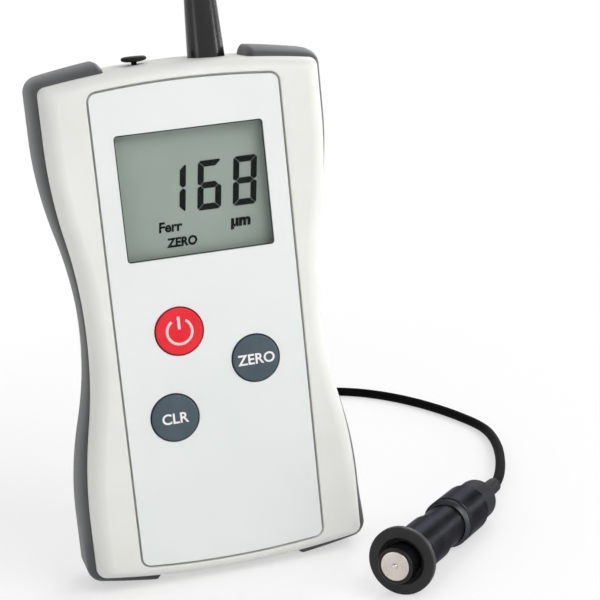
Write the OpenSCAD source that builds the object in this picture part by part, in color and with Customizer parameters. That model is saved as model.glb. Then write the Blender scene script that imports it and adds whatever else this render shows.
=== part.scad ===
// Coating thickness gauge: hourglass case with soft side bumpers, display, three keys,
// rear battery door, and a spring-loaded contact probe on a thin lead.
// Frame: millimetres, +Z up, the display faces -Y, the case stands on its lower bumper hooks at z = 0.

/* [Case] */
// overall width over the bumpers
body_w = 64; // [58:0.5:72]
// overall height over the bumper hooks
body_h = 115; // [108:0.5:124]
// how far each side of the case draws in at the waist
waist_in = 4.4; // [2:0.1:6]
// half the height over which the waist curve runs
waist_reach = 42; // [30:1:46]
// radius of the bowed top and bottom ends
end_bow_r = 190; // [120:5:400]
// corner radius of the case seen from the front
corner_r = 1.8; // [1.4:0.1:3]
// sideways reach of the soft front edge along the sides
side_round = 3.6; // [2:0.1:5]
// reach of the soft front edge at the two ends
end_round = 2.6; // [1.5:0.1:4]
// depth of the soft front edge
front_round_d = 4.5; // [3:0.1:4.8]
// sideways reach of the soft back edge
back_round = 4.6; // [3:0.1:5.4]
// depth of the soft back edge
back_round_d = 5.2; // [4:0.1:6]
// front wall thickness
face_wall = 2.4; // [2.2:0.1:3]
// back wall thickness
back_wall = 2.6; // [2.2:0.1:3]
// side wall left under the bumper groove
side_wall = 1.4; // [1.2:0.1:2]
// height of the lip where the front shell enters the rear shell
lip_h = 1; // [0.8:0.1:1.4]
// thickness of the lip
lip_t = 0.6; // [0.5:0.05:0.7]
// gap round the lip
lip_gap = 0.1; // [0.05:0.01:0.15]

/* [Bumpers] */
// how far the bumper stands out of the case at the corners
bumper_out = 1.8; // [1:0.1:2.4]
// how far it stands out at the waist
bumper_waist_out = 0.6; // [0.4:0.1:1.4]
// how far the hooks stand out of the two ends
hook_out = 2.2; // [1.6:0.1:2.8]
// half distance between the full ends of two facing hooks
hook_in = 17; // [15:0.5:20]
// length of a hook's rounded nose
hook_nose = 1.5; // [1:0.1:2]
// bumper depth, front to back, at the corners
bumper_d = 13; // [10:0.5:15]
// bumper depth at the waist
bumper_waist_d = 8; // [6:0.5:10]
// depth of a bumper's soft edge
bumper_edge = 2; // [1.2:0.1:2.6]
// bumper middle, back of the case middle
bumper_y = -1; // [-1.5:0.1:0]
// depth of the groove that seats the bumper
groove = 1.2; // [0.8:0.1:1.4]
// slope of the groove's two sides
groove_draft = 0.5; // [0.2:0.1:0.8]

/* [Label and display] */
// case face left beside the label at the waist
label_side = 1.85; // [1.4:0.05:3]
// case face left beyond the label at each end
label_end = 0.8; // [0.6:0.05:3]
// corner radius of the label
label_r = 1.8; // [1:0.1:3]
// thickness of the label
label_t = 0.5; // [0.3:0.05:0.7]
// how far the label lies below the case face
label_sink = 0.05; // [0.02:0.01:0.1]
// fine groove left round the label
label_gap = 0.35; // [0.2:0.05:0.6]
// label left beside the clear window
window_side = 4.25; // [3.4:0.05:6]
// height of the clear window
window_h = 27.2; // [22:0.1:30]
// label left above the clear window
window_top = 10.16; // [8:0.02:12]
// corner radius of the window
window_r = 0.8; // [0.5:0.1:1.5]
// step of the shell behind the window's edge
window_step = 0.4; // [0.2:0.1:0.8]
// thickness of the display lens
lens_t = 1; // [0.8:0.05:1.2]
// margin of the lens behind the label round the window
lens_lap = 1.9; // [1:0.1:2.2]
// gap round the lens
lens_gap = 0.1; // [0.05:0.01:0.2]
// gap between the front wall and the display glass
lcd_gap = 0.2; // [0.1:0.05:0.4]
// thickness of the display glass
lcd_t = 2; // [1.6:0.1:2.2]
// display glass hidden beside the window
lcd_side = 2.4; // [2:0.1:3]
// display glass hidden above and below the window
lcd_end = 2.9; // [2.4:0.1:3.4]
// thickness of the reflector foil
reflector_t = 0.4; // [0.2:0.05:0.5]
// wall of the frame round the display glass
frame_wall = 2; // [1.4:0.1:2.4]
// gap between the frame and the display glass
frame_gap = 0.1; // [0.05:0.01:0.2]
// width of a contact strip
strip_w = 1.6; // [1.2:0.1:2]
// height of a contact strip between glass and board
strip_h = 2.5; // [2.2:0.1:2.8]

/* [Keys] */
// diameter of a key
key_d = 10.3; // [9:0.1:11]
// gap round a key
key_gap = 0.3; // [0.25:0.05:0.4]
// height of a key above the label
key_rise = 0.4; // [0.2:0.05:0.6]
// radius of a key's soft rim
key_soft = 0.35; // [0.2:0.05:0.5]
// key travel
key_travel = 0.6; // [0.4:0.05:0.7]
// width of a key's collar behind the front wall
key_collar = 1; // [0.8:0.1:1.4]
// thickness of a key's collar
key_collar_t = 0.8; // [0.6:0.05:1]
// diameter of a key's stem
key_stem_d = 4; // [3:0.1:5]
// power key, right of the middle line
power_x = -6.8; // [-8:0.1:-5.5]
// power key, below the window
power_down = 16; // [15:0.1:18]
// zero key, right of the middle line
zero_x = 9.3; // [8:0.1:11]
// zero key, below the window
zero_down = 24.4; // [23:0.1:27]
// clear key, right of the middle line
clear_x = -9.8; // [-11:0.1:-8]
// clear key, below the window
clear_down = 34.8; // [33:0.1:38]
// diameter of a snap dome
dome_d = 8; // [6:0.1:9]
// height of a snap dome
dome_h = 0.7; // [0.5:0.05:0.9]
// thickness of a snap dome
dome_t = 0.25; // [0.15:0.01:0.3]
// gap between a key's stem and its dome, beyond the travel
dome_gap = 0.05; // [0.02:0.01:0.2]

/* [Circuit board] */
// gap between the board and the case at the waist
board_side = 2.2; // [1.5:0.1:3.2]
// gap between the board and the case at each end
board_end = 4.5; // [3.5:0.1:6]
// board thickness
board_t = 1.6; // [1.2:0.1:1.6]
// gap between the board and the battery bay
board_bay_gap = 2.1; // [1.6:0.1:4]
// width of the controller
chip_w = 12; // [9:0.5:14]
// thickness of the controller
chip_t = 1.5; // [1:0.1:1.8]
// gap under a chip
chip_gap = 0.2; // [0.1:0.05:0.3]
// width of a chip's pin
chip_pin_w = 0.5; // [0.3:0.05:0.6]
// reach of a chip's pins
chip_pin_l = 0.8; // [0.6:0.1:1]
// width of the amplifier
amp_w = 5; // [4:0.5:6]
// width of the crystal can
crystal_w = 4; // [3:0.1:4.5]
// length of the crystal can
crystal_l = 12; // [10:0.1:13]
// height of the crystal can
crystal_h = 3.5; // [2.5:0.1:4]
// diameter of the buzzer
buzzer_d = 12; // [9:0.1:12]
// height of the buzzer
buzzer_h = 5; // [4:0.1:6]
// diameter of the buzzer's sound hole
buzzer_hole_d = 2.4; // [1.6:0.1:3]

/* [Batteries and door] */
// cell diameter
cell_d = 10.5; // [10:0.1:10.6]
// cell length over its nub
cell_l = 44.5; // [43:0.1:45]
// height of a cell's nub
cell_nub_h = 0.8; // [0.6:0.1:1]
// diameter of a cell's nub
cell_nub_d = 3.8; // [3.2:0.1:4]
// gap between the two cells
cell_gap = 0.7; // [0.5:0.1:1]
// gap beside the cells
bay_side_gap = 0.75; // [0.5:0.05:1]
// gap below the cells
bay_floor_gap = 0.15; // [0.1:0.05:0.3]
// gap between the cells and the door
bay_back_gap = 0.75; // [0.6:0.05:1]
// wall of the battery bay
bay_wall = 1.2; // [1:0.1:1.6]
// bottom of the battery bay above the floor
bay_z = 17; // [16:0.1:20]
// length of a pressed battery spring
spring_l = 4.7; // [4:0.1:6]
// wire thickness of a battery spring
spring_wire = 0.6; // [0.5:0.05:0.8]
// width of a battery spring at its plate
spring_w = 7.6; // [6:0.1:8]
// width of a battery spring at its cell
spring_tip_w = 4.8; // [4:0.1:6]
// contact plate thickness
plate_t = 0.4; // [0.3:0.05:0.5]
// contact plate width
plate_w = 9.2; // [8:0.1:10]
// contact plate depth
plate_d = 8; // [7:0.1:9]
// how far the door covers the case beside the bay
door_lap = 1.4; // [1:0.1:2]
// how far the door covers the case above the bay
door_top_lap = 3.5; // [3:0.1:5]
// door thickness
door_t = 1.6; // [1.4:0.05:1.7]
// gap round the door
door_gap = 0.3; // [0.25:0.05:0.5]
// thickness of the door's two ribs
door_rib_t = 1.2; // [1:0.1:1.6]
// gap between the ribs and the cells
door_rib_gap = 0.35; // [0.2:0.05:0.5]
// how far the hinge line lies below the bay
hinge_drop = 2.5; // [2.2:0.1:3.5]
// radius of the door's rounded hinge edge
hinge_r = 1.3; // [1.2:0.05:1.4]
// radius of a hinge pin
pin_r = 0.8; // [0.6:0.05:0.9]
// running gap of a hinge pin
pin_gap = 0.15; // [0.1:0.01:0.2]
// length of a hinge pin
pin_l = 1.5; // [1.2:0.1:2]
// end gap of a hinge pin
pin_end_gap = 0.3; // [0.2:0.05:0.5]
// wall round the hinge pins
hinge_wall = 1.7; // [1.2:0.1:2.2]
// radius of the grip grooves on the door
grip_r = 0.5; // [0.3:0.05:0.7]
// length of the grip grooves
grip_l = 14; // [10:0.5:18]
// distance between two grip grooves
grip_pitch = 1.8; // [1.4:0.1:2.4]
// radius of the finger notch above the door
notch_r = 5; // [4:0.1:6]
// depth of the finger notch
notch_in = 1.8; // [1:0.1:2]

/* [Screws] */
// case screw shank diameter
screw_d = 2; // [1.6:0.1:2.2]
// case screw head diameter
screw_head_d = 4.8; // [4:0.1:5]
// case screw head thickness
screw_head_t = 1.7; // [1.4:0.1:2]
// thickness of the web under a case screw's head
screw_web = 4; // [3:0.1:5]
// how far a case screw reaches into its boss
screw_hold = 7.2; // [5:0.1:7.5]
// gap beyond a case screw's tip
screw_tip_gap = 0.3; // [0.2:0.1:0.6]
// gap round a case screw's shank in the rear shell
screw_gap = 0.25; // [0.2:0.05:0.4]
// gap round a case screw's head
screw_head_gap = 0.35; // [0.2:0.05:0.5]
// width of a screw's driving slot
screw_slot = 0.6; // [0.4:0.05:0.8]
// case screw, in from the inside of the side wall
screw_side = 3.3; // [3.1:0.1:4]
// case screw, in from the inside of the end wall
screw_end = 5.76; // [5:0.02:8]
// diameter of a front boss for a case screw
boss_d = 6; // [5:0.1:6.2]
// wall of a rear tower round a case screw's head
tower_wall = 0.65; // [0.6:0.05:0.8]
// board screw shank diameter
board_screw_d = 1.8; // [1.4:0.1:2]
// board screw head diameter
board_screw_head_d = 3.8; // [3.2:0.1:4]
// board screw head thickness
board_screw_head_t = 1.2; // [1:0.1:1.5]
// gap round a board screw in the board
board_screw_gap = 0.15; // [0.1:0.05:0.25]
// board screw, in from the side of the board
board_screw_side = 3.5; // [3:0.1:4]
// lower board screws, up from the end of the board
board_screw_up = 3; // [2.6:0.1:4]
// upper board screws, below the display frame
board_screw_down = 4.4; // [3:0.1:5]
// diameter of a boss for a board screw
board_boss_d = 4.8; // [4:0.1:5]

/* [Top end] */
// boot and plug, sideways from the middle line
port_x = 7.9; // [7.5:0.1:8.2]
// how far the boot's seat is sunk into the top end
seat_sink = 0.2; // [0.1:0.05:0.4]
// boot diameter at its base
boot_d = 8.2; // [7.4:0.1:8.6]
// boot diameter at its tip
boot_tip_d = 5; // [4.4:0.1:5.6]
// boot length above the case
boot_l = 30; // [24:0.5:36]
// boot diameter in the wall
boot_neck_d = 6; // [5.4:0.1:6.4]
// diameter of the boot's disc inside the wall
boot_disc_d = 8.4; // [8:0.1:9]
// thickness of the boot's disc
boot_disc_t = 1.4; // [1:0.1:2]
// gap between the wall and the boot's disc
boot_disc_gap = 0.2; // [0.1:0.05:0.4]
// height of the boot's straight base ring
boot_ring_h = 1.6; // [1:0.1:2]
// plug head diameter
plug_d = 5.5; // [4.8:0.1:6]
// plug head height
plug_head_h = 1.2; // [0.8:0.1:1.6]
// plug head's underside, below the top of the bumper hooks
plug_sink = 1; // [0.6:0.1:1.2]
// plug pin diameter
plug_pin_d = 2.6; // [2.2:0.1:2.8]
// plug neck diameter
plug_neck_d = 1.2; // [1:0.1:1.6]
// length of the plug's pin in the socket
plug_pin_l = 8.5; // [7:0.1:9]
// gap round the plug pin
plug_gap = 0.35; // [0.3:0.05:0.5]
// gap at the end of the plug pin
plug_end_gap = 0.5; // [0.3:0.1:1]
// diameter of the interface socket
socket_d = 6.6; // [5.6:0.1:7]
// length of the interface socket
socket_l = 10; // [9.6:0.1:12]
// width of the cable header on the board
header_w = 8; // [6:0.1:9]
// height of the cable header above the board
header_h = 6.3; // [5:0.1:7]
// length of the cable header
header_l = 7; // [5:0.1:8]

/* [Cable] */
// cable diameter
cable_d = 2.5; // [2.2:0.1:2.6]
// radius of the coil at the middle of its turns
coil_r = 13.75; // [13:0.25:15]
// thickness of the coil tie
tie_t = 0.6; // [0.4:0.1:1]
// coil middle, right of the case middle
coil_x = 6; // [0:0.5:10]
// coil middle, behind the case
coil_behind = 35.5; // [32:0.5:45]
// straight rise of the cable above its boot
rise_l = 9.5; // [5:0.5:20]
// cable's fall behind the case, right of the case middle
fall_x = 15.5; // [12:0.5:20]
// radius of the bend where the cable meets the coil
fall_bend_r = 13; // [10:0.5:16]

/* [Probe] */
// nose diameter
nose_d = 7.8; // [7.4:0.1:7.9]
// gap round the nose
nose_gap = 0.3; // [0.25:0.05:0.4]
// nose standing out of the flange
nose_out = 3.8; // [3:0.1:4.4]
// rim of the nose round the contact face
nose_rim = 0.75; // [0.6:0.05:1]
// wall of the nose round the sensor coil
nose_wall = 1; // [0.8:0.1:1.4]
// thickness of the steel contact face
contact_t = 1.5; // [1:0.1:2]
// pole standing out of the contact face
pole_out = 0.4; // [0.2:0.05:0.6]
// diameter of the pole
pole_d = 1.2; // [0.8:0.1:1.6]
// length of the pole
pole_l = 12; // [10:0.5:13]
// length of the sensor coil
sensor_l = 6.6; // [5:0.1:8]
// gap round the sensor coil
sensor_gap = 0.3; // [0.2:0.05:0.4]
// height of the collar that keeps the nose in
collar_h = 0.1; // [0.08:0.01:0.2]
// running gap between collar and sleeve
collar_gap = 0.25; // [0.2:0.05:0.4]
// length of the plunger behind the flange
plunger_l = 12; // [10:0.5:14]
// plunger travel
plunger_travel = 2; // [1:0.1:2.2]
// length of the plunger's spring when fully pressed
spring_pressed_l = 11; // [9:0.5:12]
// wire thickness of the plunger's spring
plunger_wire = 0.7; // [0.5:0.05:0.8]
// width of the plunger's spring at the middle of its wire
plunger_spring_w = 6; // [5:0.1:6.4]
// length of the retainer behind the spring
retainer_l = 2.5; // [2:0.1:3]
// gap round the plunger's spring
spring_room = 0.45; // [0.3:0.05:0.6]
// wall of the sleeve's front collar
sleeve_wall = 0.6; // [0.5:0.05:0.8]
// step from the sleeve's front collar down to its neck
sleeve_step = 0.5; // [0.3:0.05:0.6]
// visible sleeve length
sleeve_l = 24.5; // [22:0.5:28]
// sleeve length inside the rear cap
sleeve_in_l = 9; // [8:0.5:12]
// rim of the flange round the sleeve
flange_rim = 2.2; // [1.8:0.1:2.8]
// flange thickness
flange_t = 1.7; // [1.4:0.1:2.2]
// wall of the rear cap round the sleeve's neck
cap_wall = 0.85; // [0.7:0.05:1.1]
// rear cap length with its bright rim
cap_l = 14; // [13:0.5:18]
// length of the bright rim
rim_l = 1.4; // [0.8:0.1:1.6]
// chamfer at the back of the cap
cap_chamfer = 0.7; // [0.4:0.1:1]
// depth of the fine groove round the cap
cap_groove = 0.3; // [0.2:0.05:0.4]
// end wall of the cap
cap_end_t = 3; // [2.4:0.1:4]
// boot collar diameter
tail_d = 9.5; // [8.6:0.1:10]
// boot collar length
tail_l = 7.5; // [5:0.1:9]
// boot diameter in the cap's end wall
tail_neck_d = 6; // [5:0.1:6.4]
// boot tube diameter at the collar
tail_tube_d = 4.3; // [4:0.1:4.8]
// boot tube diameter at its end
tail_end_d = 3.5; // [3.3:0.1:3.9]
// boot tube length
tail_tube_l = 11.5; // [8:0.5:13]
// probe tip, right of the case middle
probe_x = 26.9; // [22:0.1:32]
// probe tip, in front of the case middle
probe_front = 44.7; // [40:0.1:50]
// heading of the lying probe, anticlockwise from +X
probe_turn = 50; // [40:1:60]

/* [Hidden] */
$fn = 48;

// overlap that joins or clears two cuts
bite = 0.2;
over = 1;

// case depth, added up from the display, board, battery bay and door
front_stack = face_wall + lcd_gap + lcd_t + strip_h + board_t;
back_stack = bay_wall + bay_floor_gap + cell_d + bay_back_gap + door_t;
body_d = front_stack + board_bay_gap + back_stack;

// case levels
mid_z = body_h / 2;
face_y = -body_d / 2;
back_y = body_d / 2;
half_w = body_w / 2 - bumper_out;
hook_drop = end_bow_r - sqrt(end_bow_r * end_bow_r - hook_in * hook_in);
half_h = body_h / 2 - hook_out + hook_drop;
waist_r = (waist_reach * waist_reach + waist_in * waist_in) / 4 / waist_in;
shell_in = groove + side_wall;
inner_y = face_y + face_wall;
back_inner_y = back_y - back_wall;

// label, window and display stack, front to back
label_w = 2 * (half_w - waist_in - side_round - label_side);
label_h = 2 * (half_h - end_round - label_end);
label_y = face_y + label_sink;
window_w = label_w - 2 * window_side;
window_z = mid_z + label_h / 2 - window_top - window_h / 2;
key_line_z = window_z - window_h / 2;
lens_y = face_y + label_t;
lens_w = window_w + 2 * lens_lap;
lens_h = window_h + 2 * lens_lap;
lens_r = window_r + lens_gap;
lcd_y = inner_y + lcd_gap;
lcd_w = window_w + 2 * lcd_side;
lcd_h = window_h + 2 * lcd_end;
board_y = lcd_y + lcd_t + strip_h;
board_back_y = board_y + board_t;
board_w = 2 * (half_w - waist_in - shell_in - board_side);
board_h = 2 * (half_h - shell_in - board_end);
strip_inset = 0.75 * strip_w;
reflector_end = strip_inset + strip_w / 2 + 0.6;
dome_ball = (dome_d * dome_d / 4 + dome_h * dome_h) / 2 / dome_h;
dome_a = asin(dome_d / 2 / dome_ball);
dome_in_a = acos((dome_ball - dome_h) / (dome_ball - dome_t));

// battery bay
bay_l = cell_l + spring_l + 2 * plate_t;
cell_pitch = cell_d + cell_gap;
bay_half_w = (cell_pitch + cell_d) / 2 + bay_side_gap;
door_y = back_y - door_t;
bay_floor_y = door_y - bay_back_gap - cell_d - bay_floor_gap;
cell_y = bay_floor_y + bay_floor_gap + cell_d / 2;
door_w = 2 * (bay_half_w + door_lap);
hinge_y = back_y - hinge_r;
hinge_z = bay_z - hinge_drop;
door_top_z = bay_z + bay_l + door_top_lap;
hinge_block_y = hinge_y - hinge_r - 3 * hinge_wall / 1.3;
door_half_cut = door_w / 2 + door_gap;

// screws
screw_x = half_w - shell_in - screw_side;
screw_z = half_h - shell_in - screw_end;
board_screw_x = board_w / 2 - board_screw_side;
board_screw_low = mid_z - board_h / 2 + board_screw_up;
board_screw_high = window_z - lcd_h / 2 - frame_wall - board_screw_down;

// top end
end_top_z = mid_z + half_h;
port_drop = end_bow_r - sqrt(end_bow_r * end_bow_r - pow(port_x + boot_d / 2, 2));
seat_z = end_top_z - port_drop - seat_sink;
boot_in_z = end_top_z - port_drop - shell_in;
boot_top_z = seat_z + boot_l;
port_cut = 6 * over;

// probe: diameters grow outward from the nose, stations count back from the tip
contact_d = nose_d - 2 * nose_rim;
nose_bore_d = nose_d + 2 * nose_gap;
collar_d = nose_bore_d + 2 * collar_h;
sleeve_in_d = collar_d + 2 * collar_gap;
sleeve_d = sleeve_in_d + 2 * sleeve_wall;
neck_d = sleeve_d - 2 * sleeve_step;
spring_bore_d = plunger_spring_w + plunger_wire + 2 * spring_room;
cap_d = neck_d + 2 * cap_wall;
flange_d = sleeve_d + 2 * flange_rim;
sensor_room_r = nose_d / 2 - nose_wall;
contact_end = pole_out + contact_t;
sensor_q = contact_end + 0.5;
q_flange = nose_out;
q_sleeve = q_flange + flange_t;
q_cap = q_sleeve + sleeve_l;
q_tail = q_cap + cap_l;
q_tube = q_tail + tail_l;
q_end = q_tube + tail_tube_l;
collar_q = q_sleeve + collar_h;
plunger_end = q_sleeve + plunger_l;
retainer_q = plunger_end + spring_pressed_l + plunger_travel;
q_bore = plunger_end + plunger_travel + collar_gap;
q_neck = q_bore + 1.5 * sleeve_wall;

// probe lying on its flange rim and its cap rim, tip toward the viewer
probe_tilt = atan((flange_d - cap_d) / 2 / (q_tail - cap_chamfer - q_sleeve));
probe_up = flange_d / 2 * cos(probe_tilt) + q_sleeve * sin(probe_tilt);
probe_axis = [cos(probe_turn) * cos(probe_tilt), sin(probe_turn) * cos(probe_tilt), -sin(probe_tilt)];
probe_tip = [probe_x, -probe_front, probe_up];

// cable bundle: seven strands, six round one
bundle_r = 1.5 * cable_d;
strand_up = cable_d * sin(60);
coil_y = back_y + coil_behind;
coil_z = bundle_r + tie_t;

// inward reach of the waist curve at height t: a hollow arc that runs into an equal round arc
function waist(t, dip) =
    let (a = abs(t), h = waist_reach / 2)
    dip == 0 ? 0
    : a < h ? dip - (waist_r - sqrt(waist_r * waist_r - a * a))
    : a < waist_reach ? waist_r - sqrt(waist_r * waist_r - pow(waist_reach - a, 2))
    : 0;

// slope of the waist curve
function waist_slope(t) =
    let (a = abs(t), h = waist_reach / 2, s = t < 0 ? -1 : 1)
    a < h ? -s * a / sqrt(waist_r * waist_r - a * a)
    : a < waist_reach ? -s * (waist_reach - a) / sqrt(waist_r * waist_r - pow(waist_reach - a, 2))
    : 0;

function corner_z(hw, hh, r) = hh - end_bow_r + sqrt(pow(end_bow_r - r, 2) - pow(hw - r, 2));
function corner_a(hw, hh, r) = atan2(corner_z(hw, hh, r) - hh + end_bow_r, hw - r);

// right half of the outline, from the lower right corner round to the upper left corner
function half_outline(hw, hh, r, dip, side_n, corner_n, end_n) =
    let (zc = corner_z(hw, hh, r), xc = hw - r, a1 = corner_a(hw, hh, r))
    concat(
        [for (i = [0:side_n]) let (t = zc * (2 * i / side_n - 1)) [hw - waist(t, dip), t]],
        [for (i = [1:corner_n]) let (a = a1 * i / corner_n) [xc + r * cos(a), zc + r * sin(a)]],
        [for (i = [1:end_n - 1]) let (a = a1 + (180 - 2 * a1) * i / end_n)
            [end_bow_r * cos(a), hh - end_bow_r + end_bow_r * sin(a)]],
        [for (i = [corner_n:-1:1]) let (a = a1 * i / corner_n) [-xc - r * cos(a), zc + r * sin(a)]]
    );

// whole outline: the half and the same half turned by 180 degrees
function outline(hw, hh, r, dip, side_n = 20, corner_n = 4, end_n = 10) =
    let (h = half_outline(hw, hh, r, dip, side_n, corner_n, end_n))
    concat(h, [for (p = h) -p]);

function lift(ring, y) = [for (p = ring) [p[0], y, mid_z + p[1]]];

// case outline drawn in by w at the sides and h at the ends, at depth y
function case_ring(w, h, y) = lift(outline(half_w - w, half_h - h, corner_r, waist_in), y);

function flatten(a) = [for (b = a) for (c = b) c];

// corners a, b, c, d of patch i between ring j and the next ring, of n points each
function patch(i, j, n) =
    let (a = j * n + i, b = j * n + (i + 1) % n)
    [a, b, b + n, a + n];

// solid through rings of equal point count, front ring first, each end closed by a fan round its middle
module loft(rings) {
    n = len(rings[0]);
    m = len(rings);
    sides = [for (j = [0:m - 2]) for (i = [0:n - 1]) let (q = patch(i, j, n))
        each [[q[0], q[1], q[2]], [q[0], q[2], q[3]]]];
    front = [for (i = [0:n - 1]) [m * n, (i + 1) % n, i]];
    back = [for (i = [0:n - 1]) [m * n + 1, (m - 1) * n + i, (m - 1) * n + (i + 1) % n]];
    hubs = [[0, rings[0][0][1], mid_z], [0, rings[m - 1][0][1], mid_z]];
    polyhedron(points = concat(flatten(rings), hubs), faces = concat(sides, front, back));
}

// solid swept through stations that each hold one ring of points
module sweep(stations) {
    n = len(stations[0]);
    m = len(stations);
    sides = [for (j = [0:m - 2]) for (i = [0:n - 1]) let (q = patch(i, j, n))
        each [[q[0], q[3], q[2]], [q[0], q[2], q[1]]]];
    start = [[for (i = [0:n - 1]) i]];
    finish = [[for (i = [n - 1:-1:0]) (m - 1) * n + i]];
    polyhedron(points = flatten(stations), faces = concat(sides, start, finish));
}

// front half of the case as one soft-edged block
module front_block() {
    rings = [for (i = [5:-1:0]) let (a = 18 * i)
        case_ring(side_round * (1 - cos(a)), end_round * (1 - cos(a)),
            face_y + front_round_d * (1 - sin(a)))];
    loft(concat(rings, [case_ring(0, 0, 0)]));
}

// back half of the case as one soft-edged block
module back_block() {
    rings = [for (i = [0:5]) let (a = 18 * i)
        case_ring(back_round * (1 - cos(a)), back_round * (1 - cos(a)),
            back_y - back_round_d * (1 - sin(a)))];
    loft(concat([case_ring(0, 0, 0)], rings));
}

// block inside the case, drawn in by w from the outside, between two depths
module inner_block(w, y0, y1) {
    loft([case_ring(w, w, y0), case_ring(w, w, y1)]);
}

// ring of the lip between the shells, grown by g on every side
module lip_ring(g) {
    difference() {
        inner_block(shell_in - lip_t - g, -bite - g, lip_h + g);
        inner_block(shell_in + g, -over, lip_h + over);
    }
}

// one station of a bumper: place, outward direction, stand-out and depth
function bumper_ring(x, z, nx, nz, out, d) =
    let (h = d / 2, e = bumper_edge,
        low = [[-groove, h - groove_draft], [0, h], [0.5 * out, h - 0.15 * e], [0.85 * out, h - 0.45 * e],
            [out, h - e]],
        s = concat([for (p = low) [p[0], -p[1]]], [for (i = [4:-1:0]) low[i]]))
    [for (p = s) [x + p[0] * nx, bumper_y + p[1], mid_z + z + p[0] * nz]];

// share of the full stand-out at height t: small at the waist, full at the corners
function swell(t) = let (u = min(1, abs(t) / waist_reach)) u * u * (3 - 2 * u);

// station on the lower end's bow at sideways place x
function bow_station(x, out, d) =
    let (a = asin(x / end_bow_r))
    [x, -half_h + end_bow_r * (1 - cos(a)), sin(a), -cos(a), out, d];

// stations from the lower hook nose to the side's middle, on the right-hand side
function bumper_lower() =
    let (zc = corner_z(half_w, half_h, corner_r), xc = half_w - corner_r,
        a1 = corner_a(half_w, half_h, corner_r), bow_end = end_bow_r * cos(a1))
    concat(
        [for (i = [0:3]) let (u = i / 3, g = sqrt(1 - pow(0.97 * (1 - u), 2)))
            bow_station(hook_in - hook_nose * (1 - u), g * hook_out, (0.6 + 0.4 * g) * bumper_d)],
        [for (i = [1:4]) let (u = i / 5)
            bow_station(hook_in + (bow_end - hook_in) * u, hook_out + (bumper_out - hook_out) * u, bumper_d)],
        [for (i = [0:5]) let (a = -a1 * (1 - i / 5))
            [xc + corner_r * cos(a), -zc + corner_r * sin(a), cos(a), sin(a), bumper_out, bumper_d]],
        [for (i = [1:11]) let (t = -zc * (1 - i / 12), g = waist_slope(t), l = sqrt(1 + g * g))
            [half_w - waist(t, waist_in), t, 1 / l, g / l,
                bumper_waist_out + (bumper_out - bumper_waist_out) * swell(t),
                bumper_waist_d + (bumper_d - bumper_waist_d) * swell(t)]]
    );

function bumper_path() =
    let (low = bumper_lower(), n = len(low))
    concat(low, [[half_w - waist_in, 0, 1, 0, bumper_waist_out, bumper_waist_d]],
        [for (i = [n - 1:-1:0]) let (p = low[i]) [p[0], -p[1], p[2], -p[3], p[4], p[5]]]);

module bumper() {
    sweep([for (p = bumper_path()) bumper_ring(p[0], p[1], p[2], p[3], p[4], p[5])]);
}

module bumper_grooves() {
    bumper();
    mirror([1, 0, 0]) bumper();
}

// flat sheet with rounded corners in the face plane, from depth y0 to y1
module face_sheet(w, h, r, z, y0, y1) {
    translate([0, y1, z]) rotate([90, 0, 0]) linear_extrude(height = y1 - y0) union() {
        square([w - 2 * r, h], center = true);
        square([w, h - 2 * r], center = true);
        for (sx = [-1, 1]) for (sz = [-1, 1]) translate([sx * (w / 2 - r), sz * (h / 2 - r)]) circle(r = r);
    }
}

// label outline with bowed ends, grown by g, from depth y0 to y1
module label_block(g, y0, y1) {
    translate([0, y1, mid_z]) rotate([90, 0, 0]) linear_extrude(height = y1 - y0)
        polygon(outline(label_w / 2 + g, label_h / 2 + g, label_r + g, 0, 1, 5, 8));
}

// round bar along Y, from depth y0 to y1
module y_bar(d, y0, y1) {
    translate([0, y1, 0]) rotate([90, 0, 0]) cylinder(h = y1 - y0, d = d);
}

// upright round bar at a sideways place
module z_bar(x, d, z0, z1) {
    translate([x, 0, z0]) cylinder(h = z1 - z0, d = d);
}

// round bar along the hinge line, half as long as h on each side
module hinge_bar(h, r) {
    translate([-h, hinge_y, hinge_z]) rotate([0, 90, 0]) cylinder(h = 2 * h, r = r);
}

// box between two corners
module span(a, b) {
    translate(a) cube(b - a);
}

// box as wide on the left as on the right, between two depths and two heights
module wide(half, y0, y1, z0, z1) {
    span([-half, y0, z0], [half, y1, z1]);
}

module at_power_key() {
    translate([power_x, 0, key_line_z - power_down]) children();
}

module at_zero_key() {
    translate([zero_x, 0, key_line_z - zero_down]) children();
}

module at_clear_key() {
    translate([clear_x, 0, key_line_z - clear_down]) children();
}

module at_keys() {
    at_power_key() children();
    at_zero_key() children();
    at_clear_key() children();
}

module at_case_screws() {
    for (sx = [-1, 1]) for (sz = [-1, 1]) translate([sx * screw_x, 0, mid_z + sz * screw_z]) children();
}

module at_board_screws() {
    for (sx = [-1, 1]) for (z = [board_screw_low, board_screw_high])
        translate([sx * board_screw_x, 0, z]) children();
}

// cross slot of a screw head, l long and cut from depth y0 on
module cross_slot(l, y0) {
    wide(l / 2, y0, y0 + 3 * over, -screw_slot / 2, screw_slot / 2);
    wide(screw_slot / 2, y0, y0 + 3 * over, -l / 2, l / 2);
}

// openings of the top end: boot neck with its seat, and the plug's way in
module top_ports() {
    z_bar(port_x, boot_neck_d, boot_in_z - port_cut, seat_z + port_cut);
    z_bar(port_x, boot_d, seat_z, seat_z + port_cut);
    z_bar(-port_x, plug_pin_d + 2 * plug_gap, boot_in_z - port_cut, seat_z + port_cut);
}

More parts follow.
